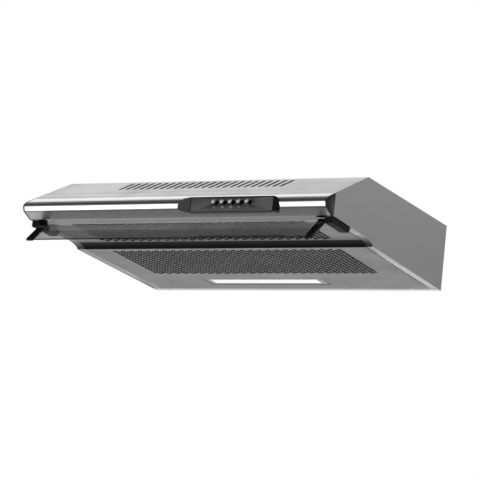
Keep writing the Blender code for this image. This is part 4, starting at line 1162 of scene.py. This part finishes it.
softened = {
    "nose_profile": ("noseSteel", 0, 1, 50),
    "front_rail": ("railSteel", 0.0003, 2, 35),
    "nose_end_cap_left": ("capGrey", 0.0004, 2, 50),
    "nose_end_cap_right": ("capGrey", 0.0004, 2, 50),
    "control_housing": ("stripMoulding", 0.0004, 2, 28),
    "side_panel_left": ("sideSteel", 0.0008, 2, 35),
    "side_panel_right": ("sideSteel", 0.0008, 2, 35),
    "control_face": ("faceGrey", 0.0003, 2, 35),
    "visor_arm_left": ("blackMoulding", 0.0007, 2, 35),
    "visor_arm_right": ("blackMoulding", 0.0007, 2, 35),
    "visor_bracket_left": ("bracketBlack", 0.0008, 2, 35),
    "visor_bracket_right": ("bracketBlack", 0.0008, 2, 35),
    "visor_edge_trim": ("blackMoulding", 0.0008, 3, 35),
    "grille_handle_strip": ("softBlack", 0, 1, 40),
    "light_housing": ("lampGrey", 0.0003, 2, 35),
    "outlet_collar": ("softBlack", 0.0004, 2, 35),
    "blower_housing": ("greyMoulding", 0.0005, 2, 35),
    "inlet_ring_left": ("greyMoulding", 0.0004, 2, 35),
    "inlet_ring_right": ("greyMoulding", 0.0004, 2, 35),
    "motor_body": ("motorSteel", 0.0010, 2, 35),
    "motor_shaft": ("zincSteel", 0.0004, 2, 35),
    "capacitor": ("whiteMoulding", 0.0012, 2, 35),
    "terminal_box": ("whiteMoulding", 0.0012, 3, 35),
    "led_driver": ("whiteMoulding", 0.0012, 3, 35),
    "cable_gland": ("softBlack", 0.0004, 2, 40),
    "switch_bank": ("greyMoulding", 0.0003, 2, 35),
}
flatOver = 0.005  # square metres: a side panel's larger faces are shaded flat
for node, (finish, width, segments, angle) in softened.items():
    piece = softenNode(node, finish, width, segments, angle)
    if finish == "sideSteel":
        for face in piece.data.polygons:
            face.use_smooth = face.use_smooth and face.area < flatOver
print("rounded pieces:", len(softened))


# ---- CAD pieces kept as they are

def bothSides(*names):
    return [name + side for name in names for side in ("_left", "_right")]


kept = {
    "casingSteel": ("top_panel", "slope_panel", "rear_panel"),
    "smokedSheet": ("visor_glass",),
    "opalLens": ("light_lens",),
    "zincSteel": (
        *bothSides("grille_catch", "hinge_clip", "grille_hinge_pin"),
        *bothSides("visor_pin", "light_bracket", "motor_bracket"),
        "filter_clip_front",
        "filter_clip_rear",
        "flap_pin",
    ),
    "flapMoulding": ("flap_front", "flap_rear"),
    "boardGreen": ("switch_board", "led_board"),
}
for finish, names in kept.items():
    for name in names:
        node = nodes[name]
        for k in range(max(1, len(node.material_slots))):
            if node.material_slots:
                node.material_slots[k].material = finishes[finish]
            else:
                node.data.materials.append(finishes[finish])
print("kept pieces:", sum(len(names) for names in kept.values()))


# ---- floor, light and camera

studio = {
    "floorZ": -3.2,
    "floorHalf": 40.0,
    "floorColor": (0.88, 0.88, 0.88, 1),
    # height of the direction, brightness seen there; behind the hood and in front of it
    "behind": (
        (0.0, 0.28), (0.46, 0.23), (0.60, 0.27), (0.68, 0.60), (0.73, 0.92),
        (0.795, 0.92), (0.83, 0.46), (0.87, 0.10), (1.0, 0.03),
    ),
    "before": ((0.0, 0.28), (0.46, 0.28), (0.56, 0.42), (0.62, 0.38), (0.68, 0.08), (1.0, 0.03)),
    "strength": 1.3,
    "turn": (-0.15, 0.15),
    "lights": (
        {
            "name": "frontLow",
            "at": (-1.75, -2.95, -1.50),
            "aim": (0, -0.48, -0.08),
            "size": 2.0,
            "power": 22,
        },
        {
            "name": "floorWash",
            "at": (-5.0, 9.0, 1.6),
            "aim": (-5.0, 9.0, -3.2),
            "size": 6.0,
            "power": 400,
            "mirrored": False,
        },
    ),
}
cameraPlace = {
    "lens": 182.66,
    "right": (0.88001384, 0.4628625, 0.10646103),
    "up": (0.00824474, -0.23900686, 0.97098287),
    "back": (0.47487648, -0.85360062, -0.21414553),
    "at": (2.08586, -3.97941, -1.02135),
}


def makeFloor():
    half, z = studio["floorHalf"], studio["floorZ"]
    mesh = bpy.data.meshes.new("floor")
    corners = [(-half, -half, z), (half, -half, z), (half, half, z), (-half, half, z)]
    mesh.from_pydata(corners, [], [(0, 1, 2, 3)])
    floor = bpy.data.objects.new("floor", mesh)
    bpy.context.scene.collection.objects.link(floor)
    made, tree, shader, place = newMaterial("floorPaint")
    shader.inputs["Base Color"].default_value = studio["floorColor"]
    shader.inputs["Roughness"].default_value = 0.8
    mesh.materials.append(made)


def makeSurround():
    world = bpy.data.worlds.new("studio")
    bpy.context.scene.world = world
    world.use_nodes = True
    tree = world.node_tree
    tree.nodes.clear()
    link = tree.links.new
    direction = addNode(tree, "ShaderNodeTexCoord")
    split = addNode(tree, "ShaderNodeSeparateXYZ")
    height = addMath(tree, "MULTIPLY_ADD", split.outputs["Z"], 0.5, 0.5)
    rearward = addNode(tree, "ShaderNodeMapRange")
    rearward.inputs["From Min"].default_value, rearward.inputs["From Max"].default_value = studio["turn"]
    around = addNode(tree, "ShaderNodeBackground", {"Strength": studio["strength"]})
    backdrop = addNode(tree, "ShaderNodeBackground", {"Color": (1, 1, 1, 1)})
    seen = addNode(tree, "ShaderNodeLightPath")
    choose = addNode(tree, "ShaderNodeMixShader")
    out = addNode(tree, "ShaderNodeOutputWorld")
    link(direction.outputs["Generated"], split.inputs[0])
    link(split.outputs["Y"], rearward.inputs["Value"])
    ramps = []
    for side in ("before", "behind"):
        ramp = addNode(tree, "ShaderNodeValToRGB")
        steps = ramp.color_ramp.elements
        while len(steps) > 1:
            steps.remove(steps[-1])
        for k, (level, value) in enumerate(studio[side]):
            step = steps[0] if k == 0 else steps.new(level)
            step.position = level
            step.color = (value, value, value, 1)
        link(height, ramp.inputs[0])
        ramps.append(ramp.outputs[0])
    link(addBlend(tree, rearward.outputs[0], *ramps), around.inputs["Color"])
    link(seen.outputs["Is Camera Ray"], choose.inputs[0])
    link(around.outputs[0], choose.inputs[1])
    link(backdrop.outputs[0], choose.inputs[2])
    link(choose.outputs[0], out.inputs["Surface"])


def makeLights():
    for look in studio["lights"]:
        data = bpy.data.lights.new(look["name"], "AREA")
        data.energy = look["power"]
        data.size = look["size"]
        light = bpy.data.objects.new(look["name"], data)
        light.visible_glossy = look.get("mirrored", True)
        light.location = look["at"]
        aim = Vector(look["aim"]) - Vector(look["at"])
        light.rotation_euler = aim.to_track_quat("-Z", "Y").to_euler()
        bpy.context.scene.collection.objects.link(light)


def makeCamera():
    data = bpy.data.cameras.new("camera")
    data.lens = cameraPlace["lens"]
    data.sensor_width = 36.0
    camera = bpy.data.objects.new("camera", data)
    columns = (cameraPlace["right"], cameraPlace["up"], cameraPlace["back"], cameraPlace["at"])
    camera.matrix_world = Matrix([[column[row] for column in columns] for row in range(3)] + [[0, 0, 0, 1]])
    bpy.context.scene.collection.objects.link(camera)
    bpy.context.scene.camera = camera


makeFloor()
makeSurround()
makeLights()
makeCamera()
bpy.context.scene.view_settings.view_transform = "Standard"
print("studio ready")
